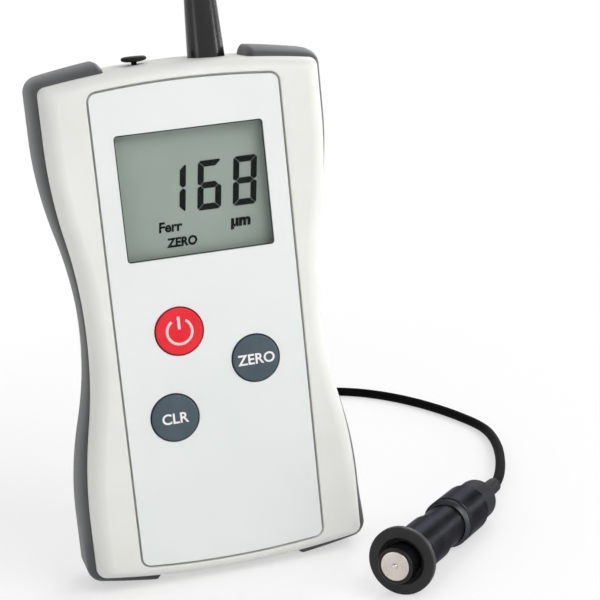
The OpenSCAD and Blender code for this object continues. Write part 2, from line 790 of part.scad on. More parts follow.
// front half of the case: hollow block, label recess, window step, key holes, bosses and lip
module front_shell() color("#E3E3DF") difference() {
    union() {
        difference() {
            front_block();
            inner_block(shell_in, inner_y, over);
            bumper_grooves();
        }
        lip_ring(0);
        at_case_screws() y_bar(boss_d, inner_y - bite, 0);
        at_board_screws() y_bar(board_boss_d, inner_y - bite, board_y);
    }
    label_block(label_gap, face_y - over, lens_y);
    face_sheet(lens_w + 2 * lens_gap, lens_h + 2 * lens_gap, lens_r + lens_gap, window_z, face_y,
        lens_y + lens_t);
    face_sheet(window_w + 2 * window_step, window_h + 2 * window_step, window_r, window_z, face_y,
        inner_y + over);
    at_keys() y_bar(key_d + 2 * key_gap, face_y - over, inner_y + over);
    at_case_screws() y_bar(screw_d, -screw_hold - screw_tip_gap, over);
    at_board_screws() y_bar(board_screw_d, inner_y + 2 * bite, board_y + over);
    top_ports();
}

// back half of the case: battery bay, door recess, hinge pockets, screw towers
module rear_shell() color("#DEDEDA") difference() {
    union() {
        difference() {
            back_block();
            inner_block(shell_in, -over, back_inner_y);
            bumper_grooves();
        }
        at_case_screws() y_bar(screw_head_d + 2 * (screw_head_gap + tower_wall), 0, back_inner_y + bite);
        wide(bay_half_w + bay_wall, bay_floor_y - bay_wall, back_inner_y + bite, bay_z - bay_wall,
            bay_z + bay_l + bay_wall);
        wide(door_w / 2 + pin_l + pin_end_gap + hinge_wall, hinge_block_y, back_inner_y + bite,
            hinge_z - hinge_r - hinge_wall, bay_z);
        wide(bay_half_w + bay_wall, hinge_block_y, back_inner_y + bite, bay_z + bay_l,
            door_top_z + bay_wall + door_gap);
    }
    lip_ring(lip_gap);
    wide(bay_half_w, bay_floor_y, back_y + over, bay_z, bay_z + bay_l);
    wide(door_half_cut, door_y, back_y + over, hinge_z, door_top_z + door_gap);
    wide(door_half_cut, hinge_y, back_y + over, hinge_z - hinge_r - door_gap, hinge_z);
    hinge_bar(door_half_cut, hinge_r + door_gap);
    hinge_bar(door_w / 2 + pin_l + pin_end_gap, pin_r + pin_gap);
    translate([0, back_y + notch_r - notch_in, door_top_z + door_gap]) sphere(r = notch_r);
    at_case_screws() y_bar(screw_d + 2 * screw_gap, -over, back_y);
    at_case_screws() y_bar(screw_head_d + 2 * screw_head_gap, screw_web, back_y + over);
    top_ports();
}

module bumper_left() color("#55565A") mirror([1, 0, 0]) bumper();

module bumper_right() color("#55565A") bumper();

module face_label() color("#E4E8E8") difference() {
    label_block(0, label_y, lens_y);
    face_sheet(window_w, window_h, window_r, window_z, face_y - over, lens_y + over);
    at_keys() y_bar(key_d + 2 * key_gap, face_y - over, lens_y + over);
}

module display_lens() color("#CFE0DC", 0.35)
    face_sheet(lens_w, lens_h, lens_r, window_z, lens_y, lens_y + lens_t);

module lcd_glass() color("#9DAAA3")
    wide(lcd_w / 2, lcd_y, lcd_y + lcd_t, window_z - lcd_h / 2, window_z + lcd_h / 2);

module lcd_reflector() color("#B9C2BC")
    wide(lcd_w / 2 - frame_wall / 4, lcd_y + lcd_t, lcd_y + lcd_t + reflector_t,
        window_z - lcd_h / 2 + reflector_end, window_z + lcd_h / 2 - reflector_end);

module lcd_frame() color("#2C2D30") difference() {
    wide(lcd_w / 2 + frame_wall, lcd_y, board_y, window_z - lcd_h / 2 - frame_wall,
        window_z + lcd_h / 2 + frame_wall);
    wide(lcd_w / 2 + frame_gap, lcd_y - over, board_y + over, window_z - lcd_h / 2 - frame_gap,
        window_z + lcd_h / 2 + frame_gap);
}

module contact_strips() color("#3A3B40") for (s = [-1, 1])
    translate([0, 0, window_z + s * (lcd_h / 2 - strip_inset)])
        wide(lcd_w / 2 - strip_w, lcd_y + lcd_t, board_y, -strip_w / 2, strip_w / 2);

module circuit_board() color("#1E6B45") difference() {
    wide(board_w / 2, board_y, board_back_y, mid_z - board_h / 2, mid_z + board_h / 2);
    at_board_screws() y_bar(board_screw_d + 2 * board_screw_gap, board_y - over, board_back_y + over);
}

// chip of width w on the back of the board, with n pins along its upper and lower side
module chip(w, n) {
    wide(w / 2, board_back_y + chip_gap, board_back_y + chip_gap + chip_t, -w / 2, w / 2);
    for (i = [0:n - 1]) for (s = [-1, 1])
        translate([w * ((i + 0.5) / n - 0.5), 0, s * w / 2])
            wide(chip_pin_w / 2, board_back_y, board_back_y + chip_t / 2 + chip_gap, -chip_pin_l, chip_pin_l);
}

module controller_chip() color("#242527") translate([chip_w / 3, 0, window_z - chip_w / 4]) chip(chip_w, 10);

module amplifier_chip() color("#2A2B2E") translate([1.9 * amp_w - board_w / 2, 0, window_z - 2.3 * amp_w]) chip(amp_w, 4);

module crystal_can() color("#C7C9CC")
    translate([board_w / 2 - 1.5 * crystal_w, board_back_y, window_z - chip_w * 5 / 6])
        rotate([-90, 0, 0]) linear_extrude(height = crystal_h) union() {
            square([crystal_w, crystal_l - crystal_w], center = true);
            for (s = [-1, 1]) translate([0, s * (crystal_l - crystal_w) / 2]) circle(d = crystal_w);
        }

module buzzer() color("#1C1D1F") translate([0.75 * buzzer_d - board_w / 2, 0, window_z + buzzer_d / 6]) difference() {
    y_bar(buzzer_d, board_back_y, board_back_y + buzzer_h);
    y_bar(buzzer_hole_d, board_back_y + buzzer_h - over, board_back_y + buzzer_h + over);
}

// snap dome: a thin cap of a ball on the board under each key
module key_domes() color("#C9CACB") at_keys()
    translate([0, board_y - dome_h + dome_ball, 0]) rotate([90, 0, 0]) rotate_extrude() polygon(concat(
        [for (i = [0:4]) let (a = dome_a * (1 - i / 4)) dome_ball * [sin(a), cos(a)]],
        [for (i = [0:4]) let (a = dome_in_a * i / 4) (dome_ball - dome_t) * [sin(a), cos(a)]]));

// key cap with a soft rim, a retaining collar behind the front wall and a stem to its dome
module key() {
    top = -label_y + key_rise;
    r = key_d / 2;
    foot = -board_y + dome_h + key_travel + dome_gap;
    collar = -inner_y - dome_gap;
    soft = [for (i = [0:5]) let (a = 18 * i) [r - key_soft * (1 - cos(a)), top - key_soft * (1 - sin(a))]];
    rotate([90, 0, 0]) rotate_extrude() polygon(concat(
        [[0, foot], [key_stem_d / 2, foot], [key_stem_d / 2, collar - key_collar_t],
            [r + key_collar, collar - key_collar_t], [r + key_collar, collar], [r, collar]], soft, [[0, top]]));
}

module power_key() color("#EB3741") at_power_key() key();

module zero_key() color("#4A535C") at_zero_key() key();

module clear_key() color("#4A535C") at_clear_key() key();

module board_screws() color("#B9BCC0") at_board_screws() difference() {
    union() {
        y_bar(board_screw_d, inner_y + 3 * bite, board_back_y);
        y_bar(board_screw_head_d, board_back_y, board_back_y + board_screw_head_t);
    }
    cross_slot(0.7 * board_screw_head_d, board_back_y + board_screw_head_t / 2);
}

module case_screws() color("#8F9296") at_case_screws() difference() {
    union() {
        y_bar(screw_d, -screw_hold, screw_web);
        y_bar(screw_head_d, screw_web, screw_web + screw_head_t);
    }
    cross_slot(0.7 * screw_head_d, screw_web + screw_head_t / 2);
}

// one cell standing on z = 0 with its nub up
module cell() {
    r = cell_d / 2;
    soft = 0.6 * cell_nub_h;
    top = cell_l - cell_nub_h;
    rotate_extrude() polygon([[0, 0], [r - soft, 0], [r, soft], [r, top - soft], [r - soft, top],
        [cell_nub_d / 2, top], [cell_nub_d / 2, cell_l], [0, cell_l]]);
}

// places a piece on the left cell's line, or turned over on the right cell's line
module on_left_cell() {
    translate([-cell_pitch / 2, cell_y, bay_z + plate_t]) children();
}

module on_right_cell() {
    translate([cell_pitch / 2, cell_y, bay_z + bay_l - plate_t]) mirror([0, 0, 1]) children();
}

module battery_left() color("#2F5E8C") on_left_cell() translate([0, 0, spring_l]) cell();

module battery_right() color("#2F5E8C") on_right_cell() translate([0, 0, spring_l]) cell();

// wire ring of a coil spring: turn angle a, coil radius r, height z, wire radius w
function wire_ring(a, r, z, w) =
    [for (k = [0:5]) let (b = 60 * k) [(r + w * cos(b)) * cos(a), (r + w * cos(b)) * sin(a), z + w * sin(b)]];

// tapered coil spring of length l between two coil radii
module spring(l, r0, r1, turns, w) {
    n = turns * 14;
    sweep([for (i = [0:n]) let (u = i / n)
        wire_ring(-360 * turns * u, r0 + (r1 - r0) * u, w + (l - 2 * w) * u, w)]);
}

module cell_spring() {
    spring(spring_l, spring_w / 2, spring_tip_w / 2, 3.5, spring_wire / 2);
}

module battery_springs() color("#BFC1C4") {
    on_left_cell() cell_spring();
    on_right_cell() cell_spring();
}

module battery_plates() color("#C9CBCD") translate([0, cell_y, bay_z]) {
    for (s = [-1, 1]) translate([s * cell_pitch / 2, 0, 0])
        wide(plate_w / 2, -plate_d / 2, plate_d / 2, 0, plate_t);
    translate([0, 0, bay_l - plate_t])
        wide((cell_pitch + plate_w) / 2, -plate_d / 2, plate_d / 2, 0, plate_t);
}

// door plate with a rounded hinge edge, two pins, two ribs inside and grip grooves
module battery_door() color("#DEDEDA") difference() {
    union() {
        wide(door_w / 2, door_y, back_y, hinge_z, door_top_z);
        hinge_bar(door_w / 2, hinge_r);
        hinge_bar(door_w / 2 + pin_l, pin_r);
        for (s = [-1, 1]) translate([s * cell_pitch / 2, 0, bay_z + bay_l / 2])
            wide(door_rib_t / 2, cell_y + cell_d / 2 + door_rib_gap, door_y + bite, -bay_l / 3, bay_l / 3);
    }
    for (i = [0:4]) translate([-grip_l / 2, back_y, door_top_z - grip_pitch * (i + 2.8)]) rotate([0, 90, 0])
        cylinder(h = grip_l, r = grip_r);
}

module interface_socket() color("#26272A") difference() {
    union() {
        z_bar(-port_x, socket_d, boot_in_z - socket_l, boot_in_z);
        translate([-port_x, 0, 0])
            wide(socket_d / 2, board_back_y, -socket_d / 4, boot_in_z - socket_l, boot_in_z - socket_l / 5);
    }
    z_bar(-port_x, plug_pin_d + 2 * plug_gap, boot_in_z - plug_pin_l - plug_end_gap, boot_in_z + over);
}

// rubber plug: pin in the socket, thin neck, bowl-shaped head
module port_plug() color("#4E4F53") translate([-port_x, 0, 0]) {
    head_z = body_h - plug_sink;
    bowl = plug_head_h * 0.42;
    pin_r = plug_pin_d / 2;
    neck_r = plug_neck_d / 2;
    tip = boot_in_z - plug_pin_l;
    edge = plug_head_h / 4;
    rotate_extrude() polygon(concat(
        [[0, tip], [pin_r - edge, tip], [pin_r, tip + edge], [pin_r, seat_z - seat_sink], [neck_r, seat_z],
            [neck_r, head_z]],
        [for (i = [1:5]) let (a = 18 * i)
            [neck_r + (plug_d / 2 - neck_r) * sin(a), head_z + bowl * (1 - cos(a))]],
        [[plug_d / 2, head_z + plug_head_h - edge], [plug_d / 2 - edge, head_z + plug_head_h - edge / 3],
            [0, head_z + plug_head_h]]));
}

// boot: disc inside the wall, neck, straight base ring, long taper to the cable
module gauge_boot() color("#161617") translate([port_x, 0, 0]) {
    disc_z = boot_in_z - boot_disc_gap;
    soft = 0.25 * boot_ring_h;
    rotate_extrude() polygon([[cable_d / 2, disc_z - boot_disc_t], [boot_disc_d / 2, disc_z - boot_disc_t],
        [boot_disc_d / 2, disc_z], [boot_neck_d / 2, disc_z], [boot_neck_d / 2, seat_z], [boot_d / 2, seat_z],
        [boot_d / 2, seat_z + boot_ring_h - soft], [boot_d / 2 - soft / 2, seat_z + boot_ring_h],
        [boot_tip_d / 2 + 0.3 * (boot_d - boot_tip_d), seat_z + 0.45 * boot_l],
        [boot_tip_d / 2, boot_top_z - 2 * soft], [boot_tip_d / 2 - 1.5 * soft, boot_top_z],
        [cable_d / 2, boot_top_z]]);
}

module probe_header() color("#E6E3D6") translate([port_x, 0, boot_in_z - 2 * header_l])
    wide(header_w / 2, board_back_y, board_back_y + header_h, 0, header_l);

function cross_u(a, b) = let (c = cross(a, b)) c / norm(c);

// ring of eight points round route point i, square to the route
function tube_ring(route, i, ref) =
    let (n = len(route), t = route[min(i + 1, n - 1)] - route[max(i - 1, 0)], u = cross_u(ref, t),
        v = cross_u(t, u))
    [for (k = [0:7]) let (a = 45 * k + 22.5) route[i] + cable_d / 2 * (u * cos(a) + v * sin(a))];

module tube(route, ref) {
    sweep([for (i = [0:len(route) - 1]) tube_ring(route, i, ref)]);
}

// cubic curve from a to b that leaves a along da and reaches b along db, without its first point
function bend(a, da, b, db, n) =
    [for (i = [1:n]) let (u = i / n, v = 1 - u)
        v * v * v * a + 3 * v * v * u * (a + da) + 3 * v * u * u * (b - db) + u * u * u * b];

// route straight up out of the boot, over in half a circle and down behind the case to the coil
fall_y = coil_y + over - fall_bend_r;
arch_r = norm([fall_x - port_x, fall_y]) / 2;
arch_z = boot_top_z + rise_l;
fall_end = [coil_x + coil_r, coil_y + over, coil_z + strand_up];
rise_route = concat(
    [[port_x, 0, boot_in_z - header_l], [port_x, 0, seat_z], [port_x, 0, boot_top_z]],
    [for (i = [0:11]) let (u = (1 - cos(15 * i)) / 2)
        [port_x + u * (fall_x - port_x), u * fall_y, arch_z + arch_r * sin(15 * i)]],
    [for (i = [0:9]) let (u = i / 9, s = u * u * (3 - 2 * u))
        [fall_x + s * (fall_end[0] - fall_x), fall_y, arch_z + u * (fall_end[2] + fall_bend_r - arch_z)]],
    [for (i = [1:6]) let (a = 15 * i)
        [fall_end[0], fall_y + fall_bend_r * (1 - cos(a)), fall_end[2] + fall_bend_r * (1 - sin(a))]]);

// route along the floor from the coil, round behind on the right and forward to the probe
lie_z = cable_d / 2 + 0.02 * cable_d;
lead_start = [coil_x + coil_r + cable_d / 2, coil_y - over, coil_z - strand_up];
lead_far = [56.7, 122.7, lie_z];
lead_side = [85.5, 63.8, lie_z];
lead_tail = probe_tip + q_end * probe_axis;
lead_far_way = [0.96, -0.28, 0];
lead_side_way = [0.11, -0.994, 0];
lead_route = concat(
    [lead_start],
    bend(lead_start, [0, 28.7, 0], lead_far, 23.1 * lead_far_way, 11),
    bend(lead_far, 15.7 * lead_far_way, lead_side, 23.9 * lead_side_way, 9),
    bend(lead_side, 16.7 * lead_side_way, lead_tail, -6.7 * probe_axis, 9),
    [probe_tip + (q_tail + tail_l / 2) * probe_axis]);

module cable_rise() color("#141415") tube(rise_route, [1, 0, 0]);

module cable_coil() color("#141415") translate([coil_x, coil_y, coil_z])
    rotate_extrude() translate([coil_r, 0]) circle(r = bundle_r);

module coil_tie() color("#2E2F33") translate([coil_x, coil_y, coil_z]) rotate([0, 0, 172])
    rotate_extrude(angle = 24) translate([coil_r, 0]) difference() {
        circle(r = bundle_r + tie_t);
        circle(r = bundle_r);
    }

module cable_lead() color("#141415") tube(lead_route, [0, 0, 1]);

// lays a piece drawn along +Z from the probe's tip onto the lying probe's axis
module on_probe() {
    translate(probe_tip) rotate([0, 90 + probe_tilt, probe_turn]) children();
}

// turned ring of the probe between two stations
module turned(d, d_in, q0, q1) {
    difference() {
        translate([0, 0, q0]) cylinder(h = q1 - q0, d = d);
        translate([0, 0, q0 - over]) cylinder(h = q1 - q0 + 2 * over, d = d_in);
    }
}

// rubber boot: neck in the cap's end wall, collar, tube
module probe_boot() color("#3C3C3F") on_probe() {
    soft = 0.15 * tail_l;
    q0 = q_tail - 0.6 * cap_end_t;
    rotate_extrude() polygon([[cable_d / 2, q0], [tail_neck_d / 2, q0], [tail_neck_d / 2, q_tail],
        [tail_d / 2, q_tail], [tail_d / 2, q_tube - soft], [tail_d / 2 - 0.3 * soft, q_tube - 0.3 * soft],
        [tail_d / 2 - soft, q_tube], [tail_tube_d / 2 + soft / 2, q_tube], [tail_tube_d / 2, q_tube + soft / 2],
        [tail_end_d / 2, q_end - soft / 3], [tail_end_d / 2 - soft / 3, q_end], [cable_d / 2, q_end]]);
}

// rear cap with a fine groove behind its rim
module probe_cap() color("#17171A") on_probe() {
    r = cap_d / 2;
    q0 = q_cap + rim_l;
    g = q0 + cap_groove;
    q1 = q_tail - cap_end_t;
    rotate_extrude() polygon([[neck_d / 2, q0], [r, q0], [r, g], [r - cap_groove, g + cap_groove],
        [r - cap_groove, g + 3 * cap_groove], [r, g + 4 * cap_groove], [r, q_tail - cap_chamfer],
        [r - cap_chamfer, q_tail], [tail_neck_d / 2, q_tail], [tail_neck_d / 2, q1], [neck_d / 2, q1]]);
}

module probe_ring() color("#8E8F92") on_probe() rotate_extrude() polygon([[neck_d / 2, q_cap],
    [cap_d / 2 - 0.7 * cap_wall, q_cap], [cap_d / 2, q_cap + 0.7 * rim_l], [cap_d / 2, q_cap + rim_l],
    [neck_d / 2, q_cap + rim_l]]);

// sleeve with a front collar round the plunger and a neck round the spring
module probe_sleeve() color("#18181B") on_probe() {
    soft = sleeve_step / 2;
    q1 = q_cap + sleeve_in_l;
    rotate_extrude() polygon([[sleeve_in_d / 2, q_sleeve], [sleeve_d / 2, q_sleeve], [sleeve_d / 2, q_neck - soft],
        [sleeve_d / 2 - soft, q_neck], [neck_d / 2, q_neck], [neck_d / 2, q1], [spring_bore_d / 2, q1],
        [spring_bore_d / 2, q_bore], [sleeve_in_d / 2, q_bore]]);
}

// flange with soft rims and a countersunk bore
module probe_flange() color("#1B1B1E") on_probe() {
    soft = flange_t / 6;
    bore = nose_bore_d / 2;
    rotate_extrude() polygon([[bore, q_flange + flange_t / 2], [bore + 2.5 * soft, q_flange + soft],
        [bore + 3 * soft, q_flange], [flange_d / 2 - soft, q_flange], [flange_d / 2, q_flange + soft],
        [flange_d / 2, q_sleeve - soft], [flange_d / 2 - soft, q_sleeve], [bore, q_sleeve]]);
}

// nose that slides in the sleeve, kept in by a collar behind the flange
module probe_plunger() color("#111113") on_probe() {
    soft = nose_rim / 3;
    rim_q = pole_out + 0.1;
    stop_r = sensor_room_r - 3 * sensor_gap;
    rotate_extrude() polygon([[contact_d / 2, rim_q], [nose_d / 2 - soft, rim_q], [nose_d / 2, rim_q + soft],
        [nose_d / 2, collar_q], [collar_d / 2, collar_q], [collar_d / 2, plunger_end], [stop_r, plunger_end],
        [stop_r, plunger_end - 2], [sensor_room_r, plunger_end - 2], [sensor_room_r, contact_end],
        [contact_d / 2, contact_end]]);
}

module contact_face() color("#CFC8C0") on_probe() {
    soft = contact_t / 10;
    rotate_extrude() polygon([[pole_d / 2, pole_out], [contact_d / 2 - soft, pole_out],
        [contact_d / 2, pole_out + soft], [contact_d / 2, contact_end], [pole_d / 2, contact_end]]);
}

module sensor_coil() color("#A5652F") on_probe()
    turned(2 * (sensor_room_r - sensor_gap), pole_d, sensor_q, sensor_q + sensor_l);

module pole_tip() color("#B8B4AE") on_probe() rotate_extrude() polygon([[0, 0], [pole_d / 4, 0.05 * pole_out],
    [0.42 * pole_d, 0.4 * pole_out], [pole_d / 2, 0.9 * pole_out], [pole_d / 2, pole_l], [0, pole_l]]);

module probe_spring() color("#BFC1C4") on_probe() translate([0, 0, plunger_end + bite / 2])
    spring(retainer_q - plunger_end - bite, plunger_spring_w / 2, plunger_spring_w / 2, 6, plunger_wire / 2);

module probe_retainer() color("#77797D") on_probe()
    turned(spring_bore_d, 1.2 * cable_d, retainer_q, retainer_q + retainer_l);

front_shell();
rear_shell();
bumper_left();
bumper_right();
face_label();
display_lens();
lcd_glass();
lcd_reflector();
lcd_frame();
contact_strips();
circuit_board();
controller_chip();
amplifier_chip();
crystal_can();
buzzer();
key_domes();
power_key();
zero_key();
clear_key();
board_screws();
case_screws();
battery_left();
battery_right();
battery_springs();
battery_plates();
battery_door();
interface_socket();
port_plug();
gauge_boot();
probe_header();
cable_rise();
cable_coil();
coil_tie();
cable_lead();
probe_boot();
probe_cap();
probe_ring();
probe_sleeve();
probe_flange();
probe_plunger();
contact_face();
sensor_coil();
pole_tip();
probe_spring();
probe_retainer();
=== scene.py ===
"""Coating thickness gauge with its contact probe: the looks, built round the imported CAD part.

The sections follow the assembly: case, bumpers, label and display, keys, inside, cell springs, top end, probe
and cable, then the table, the light and the camera. Sizes are in millimetres, and every mesh is written in
metres in the CAD frame.
"""

import math

import bmesh
import bpy
import numpy as np
from mathutils import Matrix, Vector


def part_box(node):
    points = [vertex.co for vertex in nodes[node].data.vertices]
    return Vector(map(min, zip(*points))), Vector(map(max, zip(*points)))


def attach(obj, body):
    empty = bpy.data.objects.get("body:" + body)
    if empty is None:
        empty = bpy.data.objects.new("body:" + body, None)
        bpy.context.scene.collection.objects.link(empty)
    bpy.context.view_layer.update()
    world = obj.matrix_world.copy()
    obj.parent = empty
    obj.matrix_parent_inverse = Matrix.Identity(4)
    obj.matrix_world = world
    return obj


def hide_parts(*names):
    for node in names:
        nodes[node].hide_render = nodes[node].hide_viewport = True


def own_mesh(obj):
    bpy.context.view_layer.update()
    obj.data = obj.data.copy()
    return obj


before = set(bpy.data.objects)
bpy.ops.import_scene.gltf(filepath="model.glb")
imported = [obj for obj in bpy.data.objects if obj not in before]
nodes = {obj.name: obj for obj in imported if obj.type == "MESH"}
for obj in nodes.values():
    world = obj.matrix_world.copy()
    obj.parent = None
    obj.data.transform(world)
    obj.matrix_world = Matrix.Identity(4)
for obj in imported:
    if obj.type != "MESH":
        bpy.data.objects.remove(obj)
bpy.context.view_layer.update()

# The case is two white ABS mouldings, screwed together from behind. It is waisted like an hourglass,
# bowed at both ends and soft along its front edge, with a shallow recess for the face label.
MM = 0.001
BODY_W, BODY_H, BODY_D = 64.0, 115.0, 25.0
MID_Z = BODY_H / 2
FACE_Y = -BODY_D / 2
WAIST_IN, WAIST_REACH = 4.4, 42.0
END_BOW = 190.0
CORNER = 1.8
BUMPER_OUT, HOOK_OUT, HOOK_IN = 1.8, 2.2, 17.0
HALF_W = BODY_W / 2 - BUMPER_OUT
HALF_H = MID_Z - HOOK_OUT + END_BOW - math.sqrt(END_BOW**2 - HOOK_IN**2)
WAIST_R = (WAIST_REACH**2 + WAIST_IN**2) / 4 / WAIST_IN
SIDE_ROUND, END_ROUND, FRONT_ROUND_D = 3.6, 2.6, 4.5
WALL, FACE_WALL = 2.6, 2.4
LABEL_T, LABEL_R, LABEL_LEDGE, LABEL_SIDE_GAP, LABEL_END_GAP = 0.5, 1.8, 1.2, 1.85, 0.8
LABEL_GROOVE_W, LABEL_GROOVE_D = 0.5, 1.5
LABEL_W = 2 * (HALF_W - WAIST_IN - SIDE_ROUND - LABEL_SIDE_GAP)
LABEL_H = 2 * (HALF_H - END_ROUND - LABEL_END_GAP)


def linear(colour):
    """sRGB hex to linear red, green, blue and full alpha: a straight part near black, a 2.4 power above."""
    c = np.array([int(colour[i : i + 2], 16) for i in (1, 3, 5)]) / 255
    return (*np.where(c <= 0.04045, c / 12.92, ((c + 0.055) / 1.055) ** 2.4), 1.0)


def add(tree, kind, inputs=None, **settings):
    """Adds one node. Settings are its own properties; inputs go by socket name or number and hold a value or
    the socket to link from."""
    made = tree.nodes.new(kind)
    for name, value in settings.items():
        setattr(made, name, value)
    for name, value in (inputs or {}).items():
        if isinstance(value, bpy.types.NodeSocket):
            tree.links.new(value, made.inputs[name])
        else:
            made.inputs[name].default_value = value
    return made


def surface(name, low, high, patch, grain, relief, rough, swing=0.05, **sockets):
    """One plain finish. Its colour drifts between two near tones over patches, its roughness drifts with
    them, and a grain of its own size lifts the surface by relief. Sizes are in mm."""
    made = bpy.data.materials.new(name)
    made.use_nodes = True
    tree = made.node_tree
    shader = tree.nodes["Principled BSDF"]
    at = add(tree, "ShaderNodeTexCoord").outputs["Object"]
    drift = add(tree, "ShaderNodeTexNoise", {"Vector": at, "Scale": 1000 / patch, "Detail": 3.0})
    tone = add(tree, "ShaderNodeValToRGB", {"Fac": drift.outputs["Fac"]})
    tone.color_ramp.elements[0].position, tone.color_ramp.elements[0].color = 0.3, linear(low)
    tone.color_ramp.elements[1].position, tone.color_ramp.elements[1].color = 0.7, linear(high)
    gloss = add(tree, "ShaderNodeMapRange", {"Value": drift.outputs["Fac"], "From Min": 0.3, "From Max": 0.7,
                                             "To Min": rough - swing, "To Max": rough + swing})
    fine = add(tree, "ShaderNodeTexNoise", {"Vector": at, "Scale": 1000 / grain, "Detail": 2.0})
    bump = add(tree, "ShaderNodeBump",
               {"Height": fine.outputs["Fac"], "Strength": 1.0, "Distance": relief * MM})
    tree.links.new(tone.outputs["Color"], shader.inputs["Base Color"])
    tree.links.new(gloss.outputs["Result"], shader.inputs["Roughness"])
    tree.links.new(bump.outputs["Normal"], shader.inputs["Normal"])
    for socket, value in sockets.items():
        shader.inputs[socket.replace("_", " ")].default_value = value
    return made


def linked(name, data):
    """Object at the origin, linked into the scene."""
    made = bpy.data.objects.new(name, data)
    bpy.context.scene.collection.objects.link(made)
    return made


def placed(name, data, body, slot, *stands_for):
    """Linked object that rides on its body and stands for the CAD nodes that are named, which it hides; its
    slot is not used.
    """
    made = linked(name, data)
    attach(made, body)
    if stands_for:
        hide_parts(*stands_for)
    return made


def piece(name, points, faces, finish, body, slot, *stands_for):
    """Placed object from points in mm and faces: doubles merged, normals turned outward, smooth with
    area-weighted normals."""
    mesh = bpy.data.meshes.new(name)
    mesh.from_pydata((np.asarray(points, float) * MM).tolist(), [], [list(f) for f in faces])
    shape = bmesh.new()
    shape.from_mesh(mesh)
    bmesh.ops.remove_doubles(shape, verts=shape.verts, dist=2e-7)
    bmesh.ops.dissolve_degenerate(shape, edges=shape.edges, dist=1e-7)
    bmesh.ops.recalc_face_normals(shape, faces=shape.faces)
    shape.to_mesh(mesh)
    shape.free()
    mesh.shade_smooth()
    mesh.materials.append(finish)
    made = placed(name, mesh, body, slot, *stands_for)
    made.modifiers.new("even_normals", "WEIGHTED_NORMAL").keep_sharp = True
    return made


def grid_faces(rows, columns, wrap_rows=False, wrap_columns=True):
    """Four-cornered faces of a grid of points, closed round its columns and, if asked, round its rows."""
    index = np.arange(rows * columns).reshape(rows, columns)
    if wrap_rows:
        index = np.vstack([index, index[:1]])
    if wrap_columns:
        index = np.hstack([index, index[:, :1]])
    corners = [index[:-1, :-1], index[:-1, 1:], index[1:, 1:], index[1:, :-1]]
    return np.stack(corners, axis=-1).reshape(-1, 4)


def waist(t, dip):
    """Inward reach at height t: a hollow arc out to half the reach, then an equal round arc that ends level,
    both on one radius."""
    a = np.abs(t)
    hollow = dip - (WAIST_R - np.sqrt(np.maximum(WAIST_R**2 - a**2, 0)))
    rounded = WAIST_R - np.sqrt(WAIST_R**2 - np.clip(WAIST_REACH - a, 0, None) ** 2)
    return np.where(a < WAIST_REACH / 2, hollow, rounded) if dip else 0 * a


def outline(half_w, half_h, corner, dip):
    """Closed outline (x, height over the middle): waisted sides, round corners, ends bowed on a large radius.
    It starts at the lower right corner; the second half is the first one turned by half a turn."""
    top = half_h - END_BOW + math.sqrt((END_BOW - corner) ** 2 - (half_w - corner) ** 2)
    turn = math.atan2(top - half_h + END_BOW, half_w - corner)
    t = np.linspace(-top, top, 97)
    a = np.linspace(0, turn, 11)[1:]
    e = np.linspace(turn, math.pi - turn, 49)[1:-1]
    inner = half_w - corner
    x = np.concatenate([half_w - waist(t, dip), inner + corner * np.cos(a), END_BOW * np.cos(e),
                        -inner - corner * np.cos(a[::-1])])
    z = np.concatenate([t, top + corner * np.sin(a), half_h - END_BOW + END_BOW * np.sin(e),
                        top + corner * np.sin(a[::-1])])
    half = np.stack([x, z], axis=1)
    return np.vstack([half, -half])


def ring(line, y):
    """Outline lifted into the face plane at depth y."""
    return np.stack([line[:, 0], np.full(len(line), y), MID_Z + line[:, 1]], axis=1)


def case_ring(w, h, y):
    """Case outline drawn in by w at the sides and h at the ends, at depth y."""
    return ring(outline(HALF_W - w, HALF_H - h, CORNER, WAIST_IN), y)


def label_ring(grow, y):
    """Label outline grown by some width, at depth y."""
    return ring(outline(LABEL_W / 2 + grow, LABEL_H / 2 + grow, LABEL_R + grow, 0), y)


# ABS with a fine spark-eroded texture from its mould: warm white, satin, slightly uneven in the gloss.
case_abs = surface("moulded_white_abs", "#DEDED9", "#E6E6E2", patch=22, grain=0.5, relief=0.004, rough=0.45,
                   Specular_IOR_Level=0.3)
rounding = np.radians(np.linspace(90, 0, 17))
# The label's recess, from its ledge outward: growth past the label and depth below the face.
recess = [(-LABEL_LEDGE, LABEL_T), (-0.04, LABEL_T), (0.02, LABEL_T + 0.06), (0.05, LABEL_GROOVE_D - 0.1),
          (0.15, LABEL_GROOVE_D), (LABEL_GROOVE_W - 0.1, LABEL_GROOVE_D),
          (LABEL_GROOVE_W, LABEL_GROOVE_D - 0.1), (LABEL_GROOVE_W, 0.16), (LABEL_GROOVE_W + 0.05, 0.05),
          (LABEL_GROOVE_W + 0.16, 0), (LABEL_GROOVE_W + 0.24, 0)]
# The parting edge and the inner wall: how far the outline is drawn in, and its depth.
inner_wall = [(0, -0.3), (0.05, -0.12), (0.2, 0), (WALL, 0), (WALL, FACE_Y + FACE_WALL + 0.3),
              (WALL + 0.3, FACE_Y + FACE_WALL)]
front_rings = np.stack(
    [label_ring(grow, FACE_Y + deep) for grow, deep in recess]
    + [case_ring(SIDE_ROUND * (1 - math.cos(a)), END_ROUND * (1 - math.cos(a)),
                 FACE_Y + FRONT_ROUND_D * (1 - math.sin(a))) for a in rounding]
    + [case_ring(inset, inset, y) for inset, y in inner_wall]
    + [label_ring(-LABEL_LEDGE, FACE_Y + FACE_WALL)])
WINDOW_SIDE, WINDOW_DOWN, WINDOW_R = 4.25, 10.16, 0.5
WINDOW_W, WINDOW_H = LABEL_W - 2 * WINDOW_SIDE, 27.2
WINDOW_Z = MID_Z + LABEL_H / 2 - WINDOW_DOWN - WINDOW_H / 2
LIP_IN, LIP_OUT, LIP_FRONT = 0.3, 2.5, 1.5


